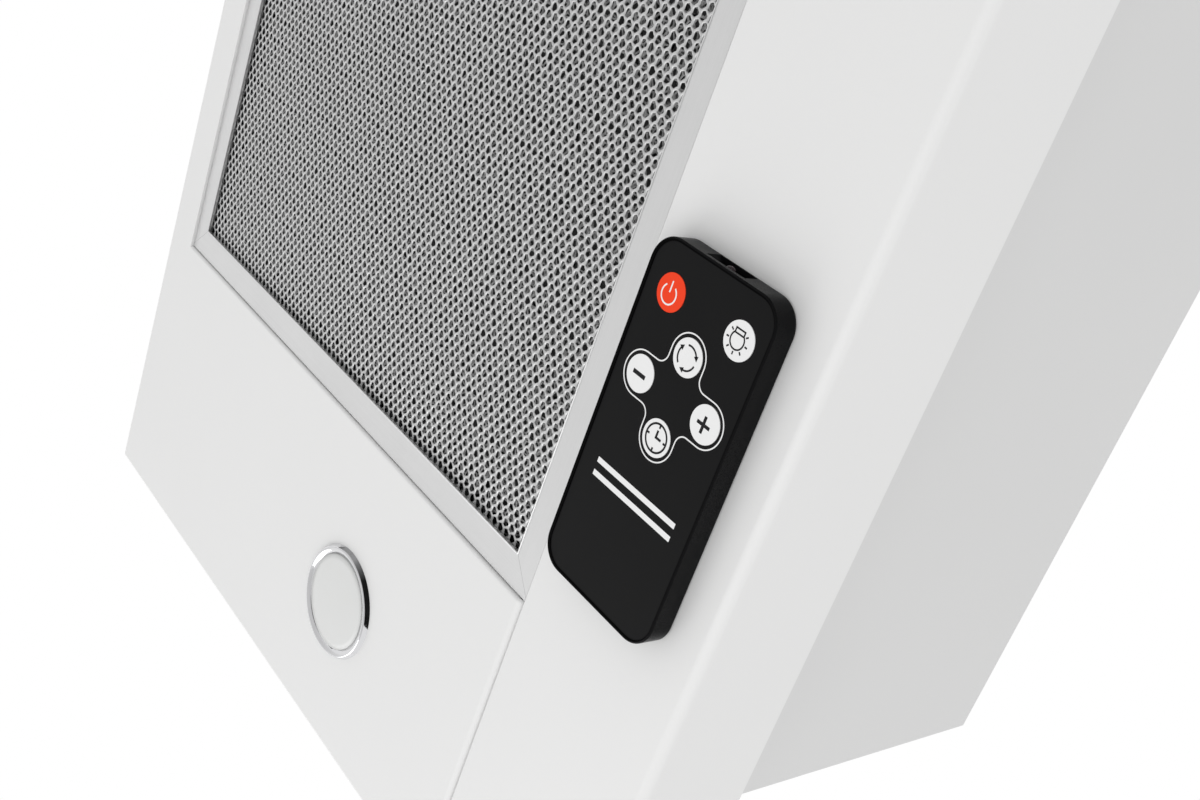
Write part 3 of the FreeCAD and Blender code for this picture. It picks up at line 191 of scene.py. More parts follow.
foilBars = {
    "tone": grey(0.80), "toneDeep": grey(0.70), "mitreTone": grey(0.50), "metallic": 0.85,
    "lineScale": 2600.0, "lineStretch": 0.012, "lineDepth": 0.004 * mm, "lineShare": 0.5,
    "mitreLine": 0.10 * mm, "mitreDepth": 3.0, "cloudScale": 40.0, "roughness": 0.34, "glossSpread": 0.08,
}


# expanded foil: bright strands, duller where the foil was drawn
def strandRecipe(wire, look):
    patch = wire.noise(look["patchScale"], octaves["fine"])
    cloud = wire.noise(look["cloudScale"], octaves["fine"])
    share = look["patchShare"]
    return {
        "Base Color": wire.blend(patch * share + cloud * (1 - share), look["tone"], look["toneDeep"]),
        "Roughness": patch * look["glossSpread"] + look["roughness"],
        "Metallic": look["metallic"],
        "Normal": wire.bump(wire.noise(look["grainScale"], octaves["fine"]), look["grainDepth"]),
    }


meshFoil = {
    "tone": grey(0.72), "toneDeep": grey(0.60), "metallic": 0.9, "patchScale": 420.0, "patchShare": 0.6,
    "cloudScale": 30.0, "roughness": 0.38, "glossSpread": 0.16, "grainScale": 4200.0,
    "grainDepth": 0.006 * mm,
}
# inner layers: the same foil, toned darker as painted shade deep in the filter pack
shadedStreakFoil = {
    **meshFoil, "tone": grey(0.50), "toneDeep": grey(0.24), "patchScale": 300.0, "roughness": 0.34,
}
# back layer: near-black foil, a sheet of painted shade for the dark inside of the hood behind the nets
backShadeFoil = {
    **shadedStreakFoil, "tone": grey(0.040), "toneDeep": grey(0.022), "metallic": 0.5, "roughness": 0.50,
}


# bright plated metal: very fine ripple in a mirror surface
def chromeRecipe(wire, look):
    ripple = wire.noise(look["rippleScale"], octaves["plain"])
    haze = wire.noise(look["hazeScale"], octaves["rich"])
    return {
        "Base Color": wire.blend(haze, look["tone"], look["toneDeep"]),
        "Roughness": haze * look["glossSpread"] + look["roughness"],
        "Metallic": look["metallic"],
        "Normal": wire.bump(ripple, look["rippleDepth"]),
    }


bezelChrome = {
    "tone": (0.72, 0.72, 0.73, 1), "toneDeep": (0.66, 0.66, 0.675, 1), "metallic": 1.0,
    "rippleScale": 260.0, "rippleDepth": 0.004 * mm, "hazeScale": 90.0, "roughness": 0.05,
    "glossSpread": 0.05,
}
nickelPlate = {
    "tone": (0.62, 0.61, 0.58, 1), "toneDeep": (0.54, 0.53, 0.51, 1), "metallic": 1.0,
    "rippleScale": 900.0, "rippleDepth": 0.004 * mm, "hazeScale": 240.0, "roughness": 0.18,
    "glossSpread": 0.12,
}


# zinc plated sheet: crystal patches with rolling lines
def zincRecipe(wire, look):
    place = wire.node("ShaderNodeMapping", {}, {"Vector": wire.spot(), "Scale": look["crystal"]})
    patch = wire.node("ShaderNodeTexVoronoi", {}, {"Vector": place, "Scale": 1.0}, out="Color")
    cell = wire.node("ShaderNodeSeparateXYZ", {}, {"Vector": patch})
    lines = wire.noise(look["lineScale"], octaves["rich"], (1, look["lineStretch"], 1))
    share = look["crystalShare"]
    return {
        "Base Color": wire.blend(cell * share + lines * (1 - share), look["tone"], look["toneDeep"]),
        "Roughness": cell * look["glossSpread"] + lines * look["glossSpread"] + look["roughness"],
        "Metallic": look["metallic"],
        "Normal": wire.bump(lines, look["lineDepth"]),
    }


zincSheet = {
    "tone": (0.66, 0.67, 0.68, 1), "toneDeep": (0.50, 0.51, 0.53, 1), "metallic": 0.95,
    "crystal": (140, 140, 140), "crystalShare": 0.7, "lineScale": 1800.0, "lineStretch": 0.02,
    "lineDepth": 0.005 * mm, "roughness": 0.28, "glossSpread": 0.09,
}


# moulded plastic: spark-eroded grain, slight flow marks
def mouldedRecipe(wire, look):
    grain = wire.noise(look["grainScale"], octaves["fine"])
    flow = wire.noise(look["flowScale"], octaves["rich"])
    return {
        "Base Color": wire.blend(flow, look["tone"], look["toneDeep"]),
        "Roughness": flow * look["glossSpread"] + grain * look["glossSpread"] + look["roughness"],
        "Normal": wire.bump(grain, look["grainDepth"]),
        "Specular IOR Level": look["specular"],
    }


darkMoulding = {
    "tone": (0.030, 0.030, 0.032, 1), "toneDeep": (0.022, 0.022, 0.024, 1), "grainScale": 2600.0,
    "grainDepth": 0.014 * mm, "flowScale": 30.0, "roughness": 0.42, "glossSpread": 0.10, "specular": 0.45,
}
remoteShell = {
    "tone": (0.0058, 0.0058, 0.0062, 1), "toneDeep": (0.0042, 0.0042, 0.0046, 1), "grainScale": 4200.0,
    "grainDepth": 0.006 * mm, "flowScale": 60.0, "roughness": 0.22, "glossSpread": 0.06, "specular": 0.052,
}
overlayFilm = {
    "tone": (0.0080, 0.0080, 0.0083, 1), "toneDeep": (0.0060, 0.0060, 0.0063, 1), "grainScale": 6500.0,
    "grainDepth": 0.004 * mm, "flowScale": 45.0, "roughness": 0.40, "glossSpread": 0.05, "specular": 0.08,
}
keyRed = {
    "tone": (0.92, 0.062, 0.018, 1), "toneDeep": (0.87, 0.052, 0.014, 1), "grainScale": 5200.0,
    "grainDepth": 0.005 * mm, "flowScale": 160.0, "roughness": 0.42, "glossSpread": 0.06, "specular": 0.12,
}
keyWhite = {**keyRed, "tone": grey(0.88), "toneDeep": grey(0.85)}
printWhite = {
    "tone": grey(0.88), "toneDeep": grey(0.84), "grainScale": 9000.0, "grainDepth": 0.003 * mm,
    "flowScale": 900.0, "roughness": 0.50, "glossSpread": 0.06, "specular": 0.12,
}
printBlack = {**printWhite, "tone": (0.016, 0.016, 0.017, 1), "toneDeep": (0.011, 0.011, 0.012, 1)}
# near-black for the seam round the overlay: painted shade in the gap, darker than the case itself
seamShade = {
    **printBlack, "tone": (0.0016, 0.0016, 0.0017, 1), "toneDeep": (0.0010, 0.0010, 0.0011, 1),
    "specular": 0.02,
}
latchGrey = {
    "tone": (0.40, 0.41, 0.42, 1), "toneDeep": (0.35, 0.36, 0.37, 1), "grainScale": 2600.0,
    "grainDepth": 0.010 * mm, "flowScale": 60.0, "roughness": 0.40, "glossSpread": 0.08, "specular": 0.45,
}
motorGrey = {
    "tone": (0.26, 0.26, 0.27, 1), "toneDeep": (0.19, 0.19, 0.20, 1), "grainScale": 1400.0,
    "grainDepth": 0.020 * mm, "flowScale": 24.0, "roughness": 0.36, "glossSpread": 0.10, "specular": 0.5,
}
castLamp = {
    "tone": (0.56, 0.56, 0.57, 1), "toneDeep": (0.46, 0.46, 0.47, 1), "grainScale": 1500.0,
    "grainDepth": 0.030 * mm, "flowScale": 40.0, "roughness": 0.44, "glossSpread": 0.10, "specular": 0.6,
}
lensMilk = {
    "tone": (0.75, 0.755, 0.747, 1), "toneDeep": (0.72, 0.725, 0.717, 1), "grainScale": 3800.0,
    "grainDepth": 0.005 * mm, "flowScale": 50.0, "roughness": 0.30, "glossSpread": 0.06, "specular": 0.4,
}
irTint = {
    "tone": (0.020, 0.006, 0.010, 1), "toneDeep": (0.012, 0.004, 0.007, 1), "grainScale": 3000.0,
    "grainDepth": 0.002 * mm, "flowScale": 120.0, "roughness": 0.08, "glossSpread": 0.04, "specular": 0.3,
}


# circuit board: solder resist over copper tracks
def boardRecipe(wire, look):
    place = wire.node("ShaderNodeMapping", {}, {"Vector": wire.spot(), "Scale": look["tracks"]})
    sockets = {"Vector": place, "Scale": 1.0, "Mortar Size": look["trackWidth"]}
    brick = wire.node("ShaderNodeTexBrick", {}, sockets, out="Fac")
    haze = wire.noise(look["hazeScale"], octaves["fine"])
    return {
        "Base Color": wire.blend(brick, wire.blend(haze, look["tone"], look["toneDeep"]), look["track"]),
        "Roughness": haze * look["glossSpread"] + look["roughness"],
        "Normal": wire.bump(brick, look["trackDepth"]),
    }


boardResist = {
    "tone": (0.020, 0.140, 0.060, 1), "toneDeep": (0.014, 0.110, 0.045, 1),
    "track": (0.050, 0.260, 0.110, 1), "tracks": (260, 260, 260), "trackWidth": 0.06,
    "trackDepth": 0.030 * mm, "hazeScale": 300.0, "roughness": 0.28, "glossSpread": 0.1,
}


def mouthOf(node, bars):
    low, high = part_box(node)
    return (low + Vector(bars), high - Vector(bars))


filterBars = {"widths": (9 * mm, 8 * mm, 0), "lugReach": 3 * mm}
filterLow, filterHigh = mouthOf("filter_frame", filterBars["widths"])
filterHigh.y -= filterBars["lugReach"]  # the frame's box holds its rear lugs too
visorLow, visorHigh = mouthOf("visor_filter_frame", filterBars["widths"])

finishes = {
    "paint": newFinish("powderCoat", paintRecipe, powderCoat),
    "housing": newFinish("housingShadedCoat", paintRecipe, housingShadedCoat),
    "cap": newFinish("capPlastic", paintRecipe, capPlastic),
    "filterFoil": newFinish("filterFoil", foilRecipe, {**foilBars, "mouth": (filterLow, filterHigh)}),
    "visorFoil": newFinish("visorFoil", foilRecipe, {**foilBars, "mouth": (visorLow, visorHigh)}),
    "strand": newFinish("meshFoil", strandRecipe, meshFoil),
    "streak": newFinish("shadedStreakFoil", strandRecipe, shadedStreakFoil),
    "back": newFinish("backShadeFoil", strandRecipe, backShadeFoil),
    "chrome": newFinish("bezelChrome", chromeRecipe, bezelChrome),
    "nickel": newFinish("nickelPlate", chromeRecipe, nickelPlate),
    "zinc": newFinish("zincSheet", zincRecipe, zincSheet),
    "dark": newFinish("darkMoulding", mouldedRecipe, darkMoulding),
    "shell": newFinish("remoteShell", mouldedRecipe, remoteShell),
    "film": newFinish("overlayFilm", mouldedRecipe, overlayFilm),
    "red": newFinish("keyRed", mouldedRecipe, keyRed),
    "white": newFinish("keyWhite", mouldedRecipe, keyWhite),
    "printWhite": newFinish("printWhite", mouldedRecipe, printWhite),
    "printBlack": newFinish("printBlack", mouldedRecipe, printBlack),
    "seam": newFinish("seamShade", mouldedRecipe, seamShade),
    "latch": newFinish("latchGrey", mouldedRecipe, latchGrey),
    "motor": newFinish("motorGrey", mouldedRecipe, motorGrey),
    "cast": newFinish("castLamp", mouldedRecipe, castLamp),
    "lens": newFinish("lensMilk", mouldedRecipe, lensMilk),
    "ir": newFinish("irTint", mouldedRecipe, irTint),
    "board": newFinish("boardResist", boardRecipe, boardResist),
}

# which finish each slot of the record takes
slotFinish = {
    "white_paint": "paint", "white_plastic": "cap", "filter_aluminium": "filterFoil",
    "mesh_aluminium": "strand", "bezel_chrome": "chrome", "lens_milky": "lens", "lamp_aluminium": "cast",
    "zinc_steel": "zinc", "latch_grey": "latch", "dark_plastic": "dark", "motor_grey": "motor",
    "board_green": "board", "magnet_steel": "nickel", "ir_dark": "ir", "remote_black": "shell",
    "overlay_black": "film", "key_red": "red", "key_white": "white",
}
# the visor's frame takes its own foil bars; the housing takes the white coat with painted shade
nodeFinish = {
    "visor_filter_frame": "visorFoil", "housing_wrap": "housing", "housing_front": "housing",
    "housing_back": "housing",
}
for entry in frame["record"]["subparts"]:
    cadNode = frame["nodes"][entry["node"]]
    chosen = nodeFinish.get(entry["node"], slotFinish[entry["material_slot"]])
    cadNode.data.materials.clear()
    cadNode.data.materials.append(finishes[chosen])
print("finishes made:", len(finishes))


# Making pieces

mergeReach = {"net": 0.01 * mm, "turned": 0.001 * mm}  # points nearer than this become one


def newPiece(name, shape, finish, body, smooth=True):
    data = bpy.data.meshes.new(name)
    shape.to_mesh(data)
    shape.free()
    data.materials.append(finishes[finish])
    data.polygons.foreach_set("use_smooth", [smooth] * len(data.polygons))
    item = bpy.data.objects.new(name, data)
    bpy.context.scene.collection.objects.link(item)
    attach(item, body)
    return item


def allOf(shape):
    return shape.verts[:] + shape.edges[:] + shape.faces[:]


def pick(made, kind):
    return [item for item in made if isinstance(item, kind)]


# a cross of five unit squares
def crossOf(shape):
    bmesh.ops.create_grid(shape, x_segments=3, y_segments=3, size=1.5)
    middles = {face: face.calc_center_median() for face in shape.faces}
    corners = [face for face, middle in middles.items() if abs(middle.x) > 0.5 and abs(middle.y) > 0.5]
    bmesh.ops.delete(shape, geom=corners, context="FACES")


def shiftedCopy(shape, source, step):
    made = bmesh.ops.duplicate(shape, geom=source)["geom"]
    bmesh.ops.translate(shape, vec=step, verts=pick(made, BMVert))
    return made


# a row of equal copies, made by doubling
def rowOf(shape, step, count):
    stages = [allOf(shape)]
    while 2 ** len(stages) <= count:
        stages.append(stages[-1] + shiftedCopy(shape, stages[-1], step * 2 ** (len(stages) - 1)))
    placed = 2 ** (len(stages) - 1)
    for level in reversed(range(len(stages))):
        if placed + 2 ** level <= count:
            shiftedCopy(shape, stages[level], step * placed)
            placed += 2 ** level


# Expanded foil net

# one tile of the net: a six-sided cell round a drop-shaped gap, its edge drawn up into the filter
def netTile(net):
    tile = bmesh.new()
    bmesh.ops.create_circle(tile, cap_ends=True, segments=6, radius=1.0)
    bmesh.ops.rotate(tile, cent=(0, 0, 0), matrix=Matrix.Rotation(math.pi / 2, 3, "Z"), verts=tile.verts)
    reach = (net["rowStep"] * 2 / 3, net["pitch"] / math.sqrt(3), 1)
    bmesh.ops.scale(tile, vec=reach, verts=tile.verts)
    bmesh.ops.subdivide_edges(tile, edges=tile.edges[:], cuts=net["cuts"])
    ring = bmesh.ops.inset_region(tile, faces=tile.faces[:], thickness=net["strand"] / 2, use_boundary=True,
                                  use_even_offset=True)["faces"]
    gap = [face for face in tile.faces if face not in ring]
    edge = gap[0].verts[:]
    bmesh.ops.delete(tile, geom=gap, context="FACES_ONLY")
    halfWide = max(vert.co.x for vert in edge)
    halfDeep = max(vert.co.y for vert in edge)
    bmesh.ops.scale(tile, vec=(net["gapWide"] / 2 / halfWide, net["gapDeep"] / 2 / halfDeep, 1), verts=edge)
    for vert in edge:
        along = vert.co.y / (net["gapDeep"] / 2)
        vert.co.x *= 1 + net["taper"] * along
        vert.co.z += net["lift"] + net["twist"] * along
    return tile


# a field of tiles about the origin, as many whole ones as fit a width and a depth
def netField(net, wide, deep):
    field = netTile(net)
    columns = math.floor(wide / (2 * net["rowStep"]))
    rows = math.floor(deep / net["pitch"])
    rowOf(field, Vector((net["rowStep"], net["pitch"] / 2, 0)), 2)
    rowOf(field, Vector((2 * net["rowStep"], 0, 0)), columns)
    rowOf(field, Vector((0, net["pitch"], 0)), rows)
    bmesh.ops.remove_doubles(field, verts=field.verts, dist=mergeReach["net"])
    centre = Vector(((columns - 0.5) * net["rowStep"], (rows - 0.5) / 2 * net["pitch"], 0))
    bmesh.ops.translate(field, vec=-centre, verts=field.verts)
    return field


def insidePlan(point, low, high):
    return low.x < point.x < high.x and low.y < point.y < high.y


# drops what reaches outside a box in plan, then what lies over the latch's guide block
def trimNet(shape, low, high, guide):
    outside = [face for face in shape.faces
               if not all(insidePlan(vert.co, low, high) for vert in face.verts)]
    bmesh.ops.delete(shape, geom=outside, context="FACES")
    if guide:
        blockLow = Vector((-guide["side"], low.y - guide["depth"], 0))
        blockHigh = Vector((guide["side"], low.y + guide["depth"], 0))
        over = [face for face in shape.faces if insidePlan(face.calc_center_median(), blockLow, blockHigh)]
        bmesh.ops.delete(shape, geom=over, context="FACES")


outerNet = {
    "pitch": 2.79 * mm, "rowStep": 2.265 * mm, "strand": 0.8 * mm, "cuts": 1, "gapWide": 2.26 * mm,
    "gapDeep": 2.0 * mm, "taper": 0.46, "lift": 0.20 * mm, "twist": 0.05 * mm, "height": 0.2 * mm,
    "bands": 2,
}
streakNet = {
    "pitch": 3.3 * mm, "rowStep": 2.8 * mm, "strand": 0.4 * mm, "cuts": 0, "gapWide": 3.2 * mm,
    "gapDeep": 2.92 * mm, "taper": 0.1, "lift": 0.1 * mm, "twist": 0.1 * mm,
}
backNet = {**streakNet, "strand": 0.8 * mm, "gapWide": 1.6 * mm, "gapDeep": 1.3 * mm}
# layers above the outer sheet: height in the pack, turn, net and finish; the inner finishes are toned
# darker as painted shade inside the pack
filterLayers = ((1.9 * mm, 24.0, streakNet, "streak"), (3.2 * mm, -17.0, streakNet, "streak"),
                (5.2 * mm, 9.0, backNet, "back"))
visorLayers = ((0.7 * mm, 21.0, streakNet, "streak"), (2.4 * mm, -13.0, backNet, "back"))
guideBlock = {"side": 30.2 * mm, "depth": 33.2 * mm}


def filterNet(node, body, label, layers, guide):
    low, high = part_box(node)
    size = high - low
    middle = (low + high) / 2
    rows = math.floor(size.y / outerNet["pitch"] / outerNet["bands"])
    bandDeep = rows * outerNet["pitch"]
    for band in range(outerNet["bands"]):
        sheet = netField(outerNet, size.x, bandDeep + outerNet["pitch"] / 2)
        place = middle.y + (band - (outerNet["bands"] - 1) / 2) * bandDeep
        bmesh.ops.translate(sheet, vec=(0, place, low.z + outerNet["height"]), verts=sheet.verts)
        trimNet(sheet, low, high, guide)
        bmesh.ops.recalc_face_normals(sheet, faces=sheet.faces)
        piece = newPiece(f"{label}Sheet.{band}", sheet, "strand", body)
        if band == 0:
            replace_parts(piece, node)
    for index, (rise, turn, net, finish) in enumerate(layers):
        lean = math.radians(abs(turn))
        wide = size.x * math.cos(lean) + size.y * math.sin(lean)
        deep = size.x * math.sin(lean) + size.y * math.cos(lean)
        sheet = netField(net, wide, deep)
        spin = Matrix.Rotation(math.radians(turn), 3, "Z")
        bmesh.ops.rotate(sheet, cent=(0, 0, 0), matrix=spin, verts=sheet.verts)
        bmesh.ops.translate(sheet, vec=(middle.x, middle.y, low.z + rise), verts=sheet.verts)
        trimNet(sheet, low, high, guide)
        newPiece(f"{label}Layer.{index}", sheet, finish, body)


filterNet("filter_mesh", "filter", "filterNet", filterLayers, guideBlock)
filterNet("visor_filter_mesh", "visor", "visorNet", visorLayers, None)
print("nets made")


# Prints on the remote, drawn in millimetres with +X to the right and +Y up

symbolPlace = Matrix(((0, -1, 0, 0), (-1, 0, 0, 0), (0, 0, -1, 0), (0, 0, 0, 1)))
printLook = {"raised": 0.03, "sunk": 0.02}


def drawBar(shape, width, height, at=(0, 0), turn=0.0):
    made = bmesh.ops.create_grid(shape, x_segments=1, y_segments=1, size=0.5)["verts"]
    bmesh.ops.scale(shape, vec=(width, height, 1), verts=made)
    bmesh.ops.translate(shape, vec=(*at, 0), verts=made)
    bmesh.ops.rotate(shape, cent=(0, 0, 0), matrix=Matrix.Rotation(math.radians(turn), 3, "Z"), verts=made)


# an arc of a ring, from a start angle over a sweep, both in degrees from the right
def drawArc(shape, radius, stroke, start=0.0, sweep=360.0, steps=40):
    ends = [shape.verts.new((radius + side * stroke / 2, 0, 0)) for side in (-1, 1)]
    edge = shape.edges.new(ends)
    bmesh.ops.rotate(shape, cent=(0, 0, 0), matrix=Matrix.Rotation(math.radians(start), 3, "Z"), verts=ends)
    full = sweep == 360.0
    bmesh.ops.spin(shape, geom=ends + [edge], cent=(0, 0, 0), axis=(0, 0, 1), angle=math.radians(sweep),
                   steps=steps, use_merge=full)


# an arrow head: the triangle on a unit circle is 1.5 long and as wide as the root of 3
def drawHead(shape, radius, angle, length, width):
    made = bmesh.ops.create_circle(shape, cap_ends=True, segments=3, radius=1.0)["verts"]
    bmesh.ops.scale(shape, vec=(width / math.sqrt(3), length / 1.5, 1), verts=made)
    bmesh.ops.rotate(shape, cent=(0, 0, 0), matrix=Matrix.Rotation(math.pi, 3, "Z"), verts=made)
    bmesh.ops.translate(shape, vec=(radius, 0, 0), verts=made)
    bmesh.ops.rotate(shape, cent=(0, 0, 0), matrix=Matrix.Rotation(math.radians(angle), 3, "Z"), verts=made)


powerMark = {
    "at": (-0.41, -0.58), "radius": 2.28, "stroke": 0.38, "start": 130, "sweep": 285, "bar": 2.65,
    "barAt": 1.79,
}


def powerSign(shape):
    drawArc(shape, powerMark["radius"], powerMark["stroke"], powerMark["start"], powerMark["sweep"])
    drawBar(shape, powerMark["stroke"], powerMark["bar"], (0, powerMark["barAt"]))


lightMark = {
    "at": (-0.46, -0.12), "radius": 1.99, "stroke": 0.37, "start": 136, "sweep": 268, "baseWide": 2.7,
    "baseLow": 1.36, "baseHigh": 2.42, "rayAt": 2.82, "ray": 0.75, "rayStroke": 0.36, "rays": 7,
    "raySpacing": 42.3,
}


def lightSign(shape):
    low, high, wide = lightMark["baseLow"], lightMark["baseHigh"], lightMark["baseWide"]
    stroke = lightMark["stroke"]
    drawArc(shape, lightMark["radius"], stroke, lightMark["start"], lightMark["sweep"])
    for level in (low, high):
        drawBar(shape, wide + stroke, stroke, (0, level))
    for side in (-1, 1):
        drawBar(shape, stroke, high - low - stroke, (side * wide / 2, (low + high) / 2))
    for index in range(lightMark["rays"]):
        angle = (index - (lightMark["rays"] - 1) / 2) * lightMark["raySpacing"] - 90
        drawBar(shape, lightMark["ray"], lightMark["rayStroke"], (lightMark["rayAt"], 0), angle)


cycleMark = {
    "at": (-0.2, -0.15), "radius": 2.8, "stroke": 0.43, "starts": (107, -13, -133), "sweep": 78,
    "steps": 14, "headAt": 82, "headLong": 1.2, "headWide": 1.3,
}


def cycleSign(shape):
    radius, sweep = cycleMark["radius"], cycleMark["sweep"]
    for start in cycleMark["starts"]:
        drawArc(shape, radius, cycleMark["stroke"], start - sweep, sweep, cycleMark["steps"])
        drawHead(shape, radius, start - cycleMark["headAt"], cycleMark["headLong"], cycleMark["headWide"])


minusMark = {"at": (-0.22, -0.27), "long": 4.1, "stroke": 1.0}


def minusSign(shape):
    drawBar(shape, minusMark["long"], minusMark["stroke"])


plusMark = {"at": (-0.35, -0.25), "long": 4.0, "stroke": 0.8}


def plusSign(shape):
    drawBar(shape, plusMark["long"], plusMark["stroke"])
    arm = (plusMark["long"] - plusMark["stroke"]) / 2
    for side in (-1, 1):
        drawBar(shape, plusMark["stroke"], arm, (0, side * (plusMark["stroke"] + arm) / 2))


timerMark = {
    "at": (0, 0), "radius": 3.28, "stroke": 0.48, "tick": 0.7, "tickStroke": 0.5, "tickAt": 2.69,
    "hand": 0.6, "tall": (2.0, (-0.15, 0.8)), "wide": (1.4, (0.85, 0.1)),
}


def timerSign(shape):
    drawArc(shape, timerMark["radius"], timerMark["stroke"])
    for angle in (0, 90, 180, 270):
        drawBar(shape, timerMark["tick"], timerMark["tickStroke"], (timerMark["tickAt"], 0), angle)
    drawBar(shape, timerMark["hand"], *timerMark["tall"])
    drawBar(shape, timerMark["wide"][0], timerMark["hand"], timerMark["wide"][1])


# raises a flat drawing to a thin print and lays it on a face of the remote
def layPrint(name, shape, at, ink, body, sunk=printLook["sunk"]):
    bmesh.ops.recalc_face_normals(shape, faces=shape.faces)
    made = bmesh.ops.extrude_face_region(shape, geom=shape.faces[:])["geom"]
    bmesh.ops.translate(shape, vec=(0, 0, printLook["raised"] + sunk), verts=pick(made, BMVert))
    bmesh.ops.translate(shape, vec=(0, 0, -sunk), verts=shape.verts)
    bmesh.ops.recalc_face_normals(shape, faces=shape.faces)
    place = Matrix.Translation(at) @ symbolPlace @ Matrix.Scale(mm, 4)
    bmesh.ops.transform(shape, matrix=place, verts=shape.verts)
    newPiece(name, shape, ink, body, smooth=False)


def faceCentre(node):
    low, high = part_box(node)
    return Vector(((low.x + high.x) / 2, (low.y + high.y) / 2, low.z))


keySigns = {
    "power": (powerSign, powerMark, "printWhite"), "light": (lightSign, lightMark, "printBlack"),
    "cycle": (cycleSign, cycleMark, "printBlack"), "minus": (minusSign, minusMark, "printBlack"),
    "plus": (plusSign, plusMark, "printBlack"), "timer": (timerSign, timerMark, "printBlack"),
}
for key, (draw, mark, ink) in keySigns.items():
    sign = bmesh.new()
    draw(sign)
    bmesh.ops.translate(sign, vec=(*mark["at"], 0), verts=sign.verts)
    layPrint(f"{key}Sign", sign, faceCentre(f"key_{key}"), ink, f"key_{key}")

# outline round the four middle keys: a cross with round arms and filleted corners
clusterLine = {"stroke": 0.32, "round": 5.5, "nearRound": 0.999, "fillet": 2.4, "segments": 14}
seamLine = {
    "inset": 0.42, "stroke": 0.45, "shift": (0.36, 0.08), "round": 6.58, "segments": 10, "sunk": 0.2,
}
stripes = {"length": 28.1, "width": 1.36, "fromKeys": (13.85, 17.15)}
cycleAt, timerAt = faceCentre("key_cycle"), faceCentre("key_timer")
minusAt, plusAt = faceCentre("key_minus"), faceCentre("key_plus")
clusterAt = (cycleAt + timerAt + minusAt + plusAt) / 4
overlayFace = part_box("remote_overlay")[0].z
armUp = (timerAt.x - cycleAt.x) / 2 / mm + clusterLine["round"]
armSide = (minusAt.y - plusAt.y) / 2 / mm + clusterLine["round"]


# keeps only a line along the edge of a flat face
def leaveLine(shape, stroke):
    line = bmesh.ops.inset_region(shape, faces=shape.faces[:], thickness=stroke, use_boundary=True,
                                  use_even_offset=True)["faces"]
    middle = [face for face in shape.faces if face not in line]
    inner = middle[0].verts[:]
    bmesh.ops.delete(shape, geom=middle, context="FACES_ONLY")
    return inner


def clusterOutline(shape):
    crossOf(shape)
    bmesh.ops.dissolve_faces(shape, faces=shape.faces[:])
    inner = [vert for vert in shape.verts if max(abs(vert.co.x), abs(vert.co.y)) < 1]
    outer = [vert for vert in shape.verts if vert not in inner]
    for vert in shape.verts:
        tip = abs(vert.co.x) > 1
        rise = abs(vert.co.y) > 1
        vert.co.x = math.copysign(armSide if tip else clusterLine["round"], vert.co.x)
        vert.co.y = math.copysign(armUp if rise else clusterLine["round"], vert.co.y)
    outerRound = clusterLine["round"] * clusterLine["nearRound"]
    for verts, radius in ((inner, clusterLine["fillet"]), (outer, outerRound)):
        bmesh.ops.bevel(shape, geom=verts, affect="VERTICES", offset=radius,
                        segments=clusterLine["segments"], profile=0.5, material=-1)
    leaveLine(shape, clusterLine["stroke"])


# seam round the overlay, which lies nearer to the right and to the infra-red end of its recess: the gap is
# real, its near-black ring is painted shade
def seamOutline(shape):
    low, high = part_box("remote_case")
    size = (high - low) / mm - Vector((1, 1, 0)) * 2 * seamLine["inset"]
    bmesh.ops.create_grid(shape, x_segments=1, y_segments=1, size=0.5)
    bmesh.ops.scale(shape, vec=(size.y, size.x, 1), verts=shape.verts)
    bmesh.ops.bevel(shape, geom=shape.verts[:], affect="VERTICES", offset=seamLine["round"],
                    segments=seamLine["segments"], profile=0.5, material=-1)
    inner = leaveLine(shape, seamLine["stroke"])
    bmesh.ops.translate(shape, vec=(*seamLine["shift"], 0), verts=inner)


outline = bmesh.new()
clusterOutline(outline)
layPrint("clusterOutline", outline, Vector((clusterAt.x, clusterAt.y, overlayFace)), "printWhite", "remote")
bars = bmesh.new()
for distance in stripes["fromKeys"]:
    drawBar(bars, stripes["length"], stripes["width"], (0, -distance))
layPrint("printStripes", bars, Vector((timerAt.x, timerAt.y, overlayFace)), "printWhite", "remote")
seam = bmesh.new()
seamOutline(seam)
layPrint("overlaySeam", seam, faceCentre("remote_case"), "seam", "remote", seamLine["sunk"])
print("remote prints laid")


# Lamps

lampRing = {
    "steps": 96, "ring": 2.9 * mm, "slope": 0.85 * mm, "drop": 1.6 * mm, "recess": 0.5 * mm,
    "neck": 0.7 * mm, "crest": 0.4 * mm, "crestSteps": 6, "sharpFrom": 85.0, "lensDome": 0.45 * mm,
    "lensSteps": 8,
}


# a shell turned from a line of points, each given as its distance from the axis and its height
def turned(centre, line):
    shape = bmesh.new()
    points = [shape.verts.new(centre + Vector((out, 0, height))) for out, height in line]
    for first, second in zip(points, points[1:]):
        shape.edges.new((first, second))
    bmesh.ops.spin(shape, geom=allOf(shape), cent=centre, axis=(0, 0, 1), angle=2 * math.pi,
                   steps=lampRing["steps"], use_merge=True)
    bmesh.ops.remove_doubles(shape, verts=shape.verts, dist=mergeReach["turned"])
    bmesh.ops.recalc_face_normals(shape, faces=shape.faces)
    return shape


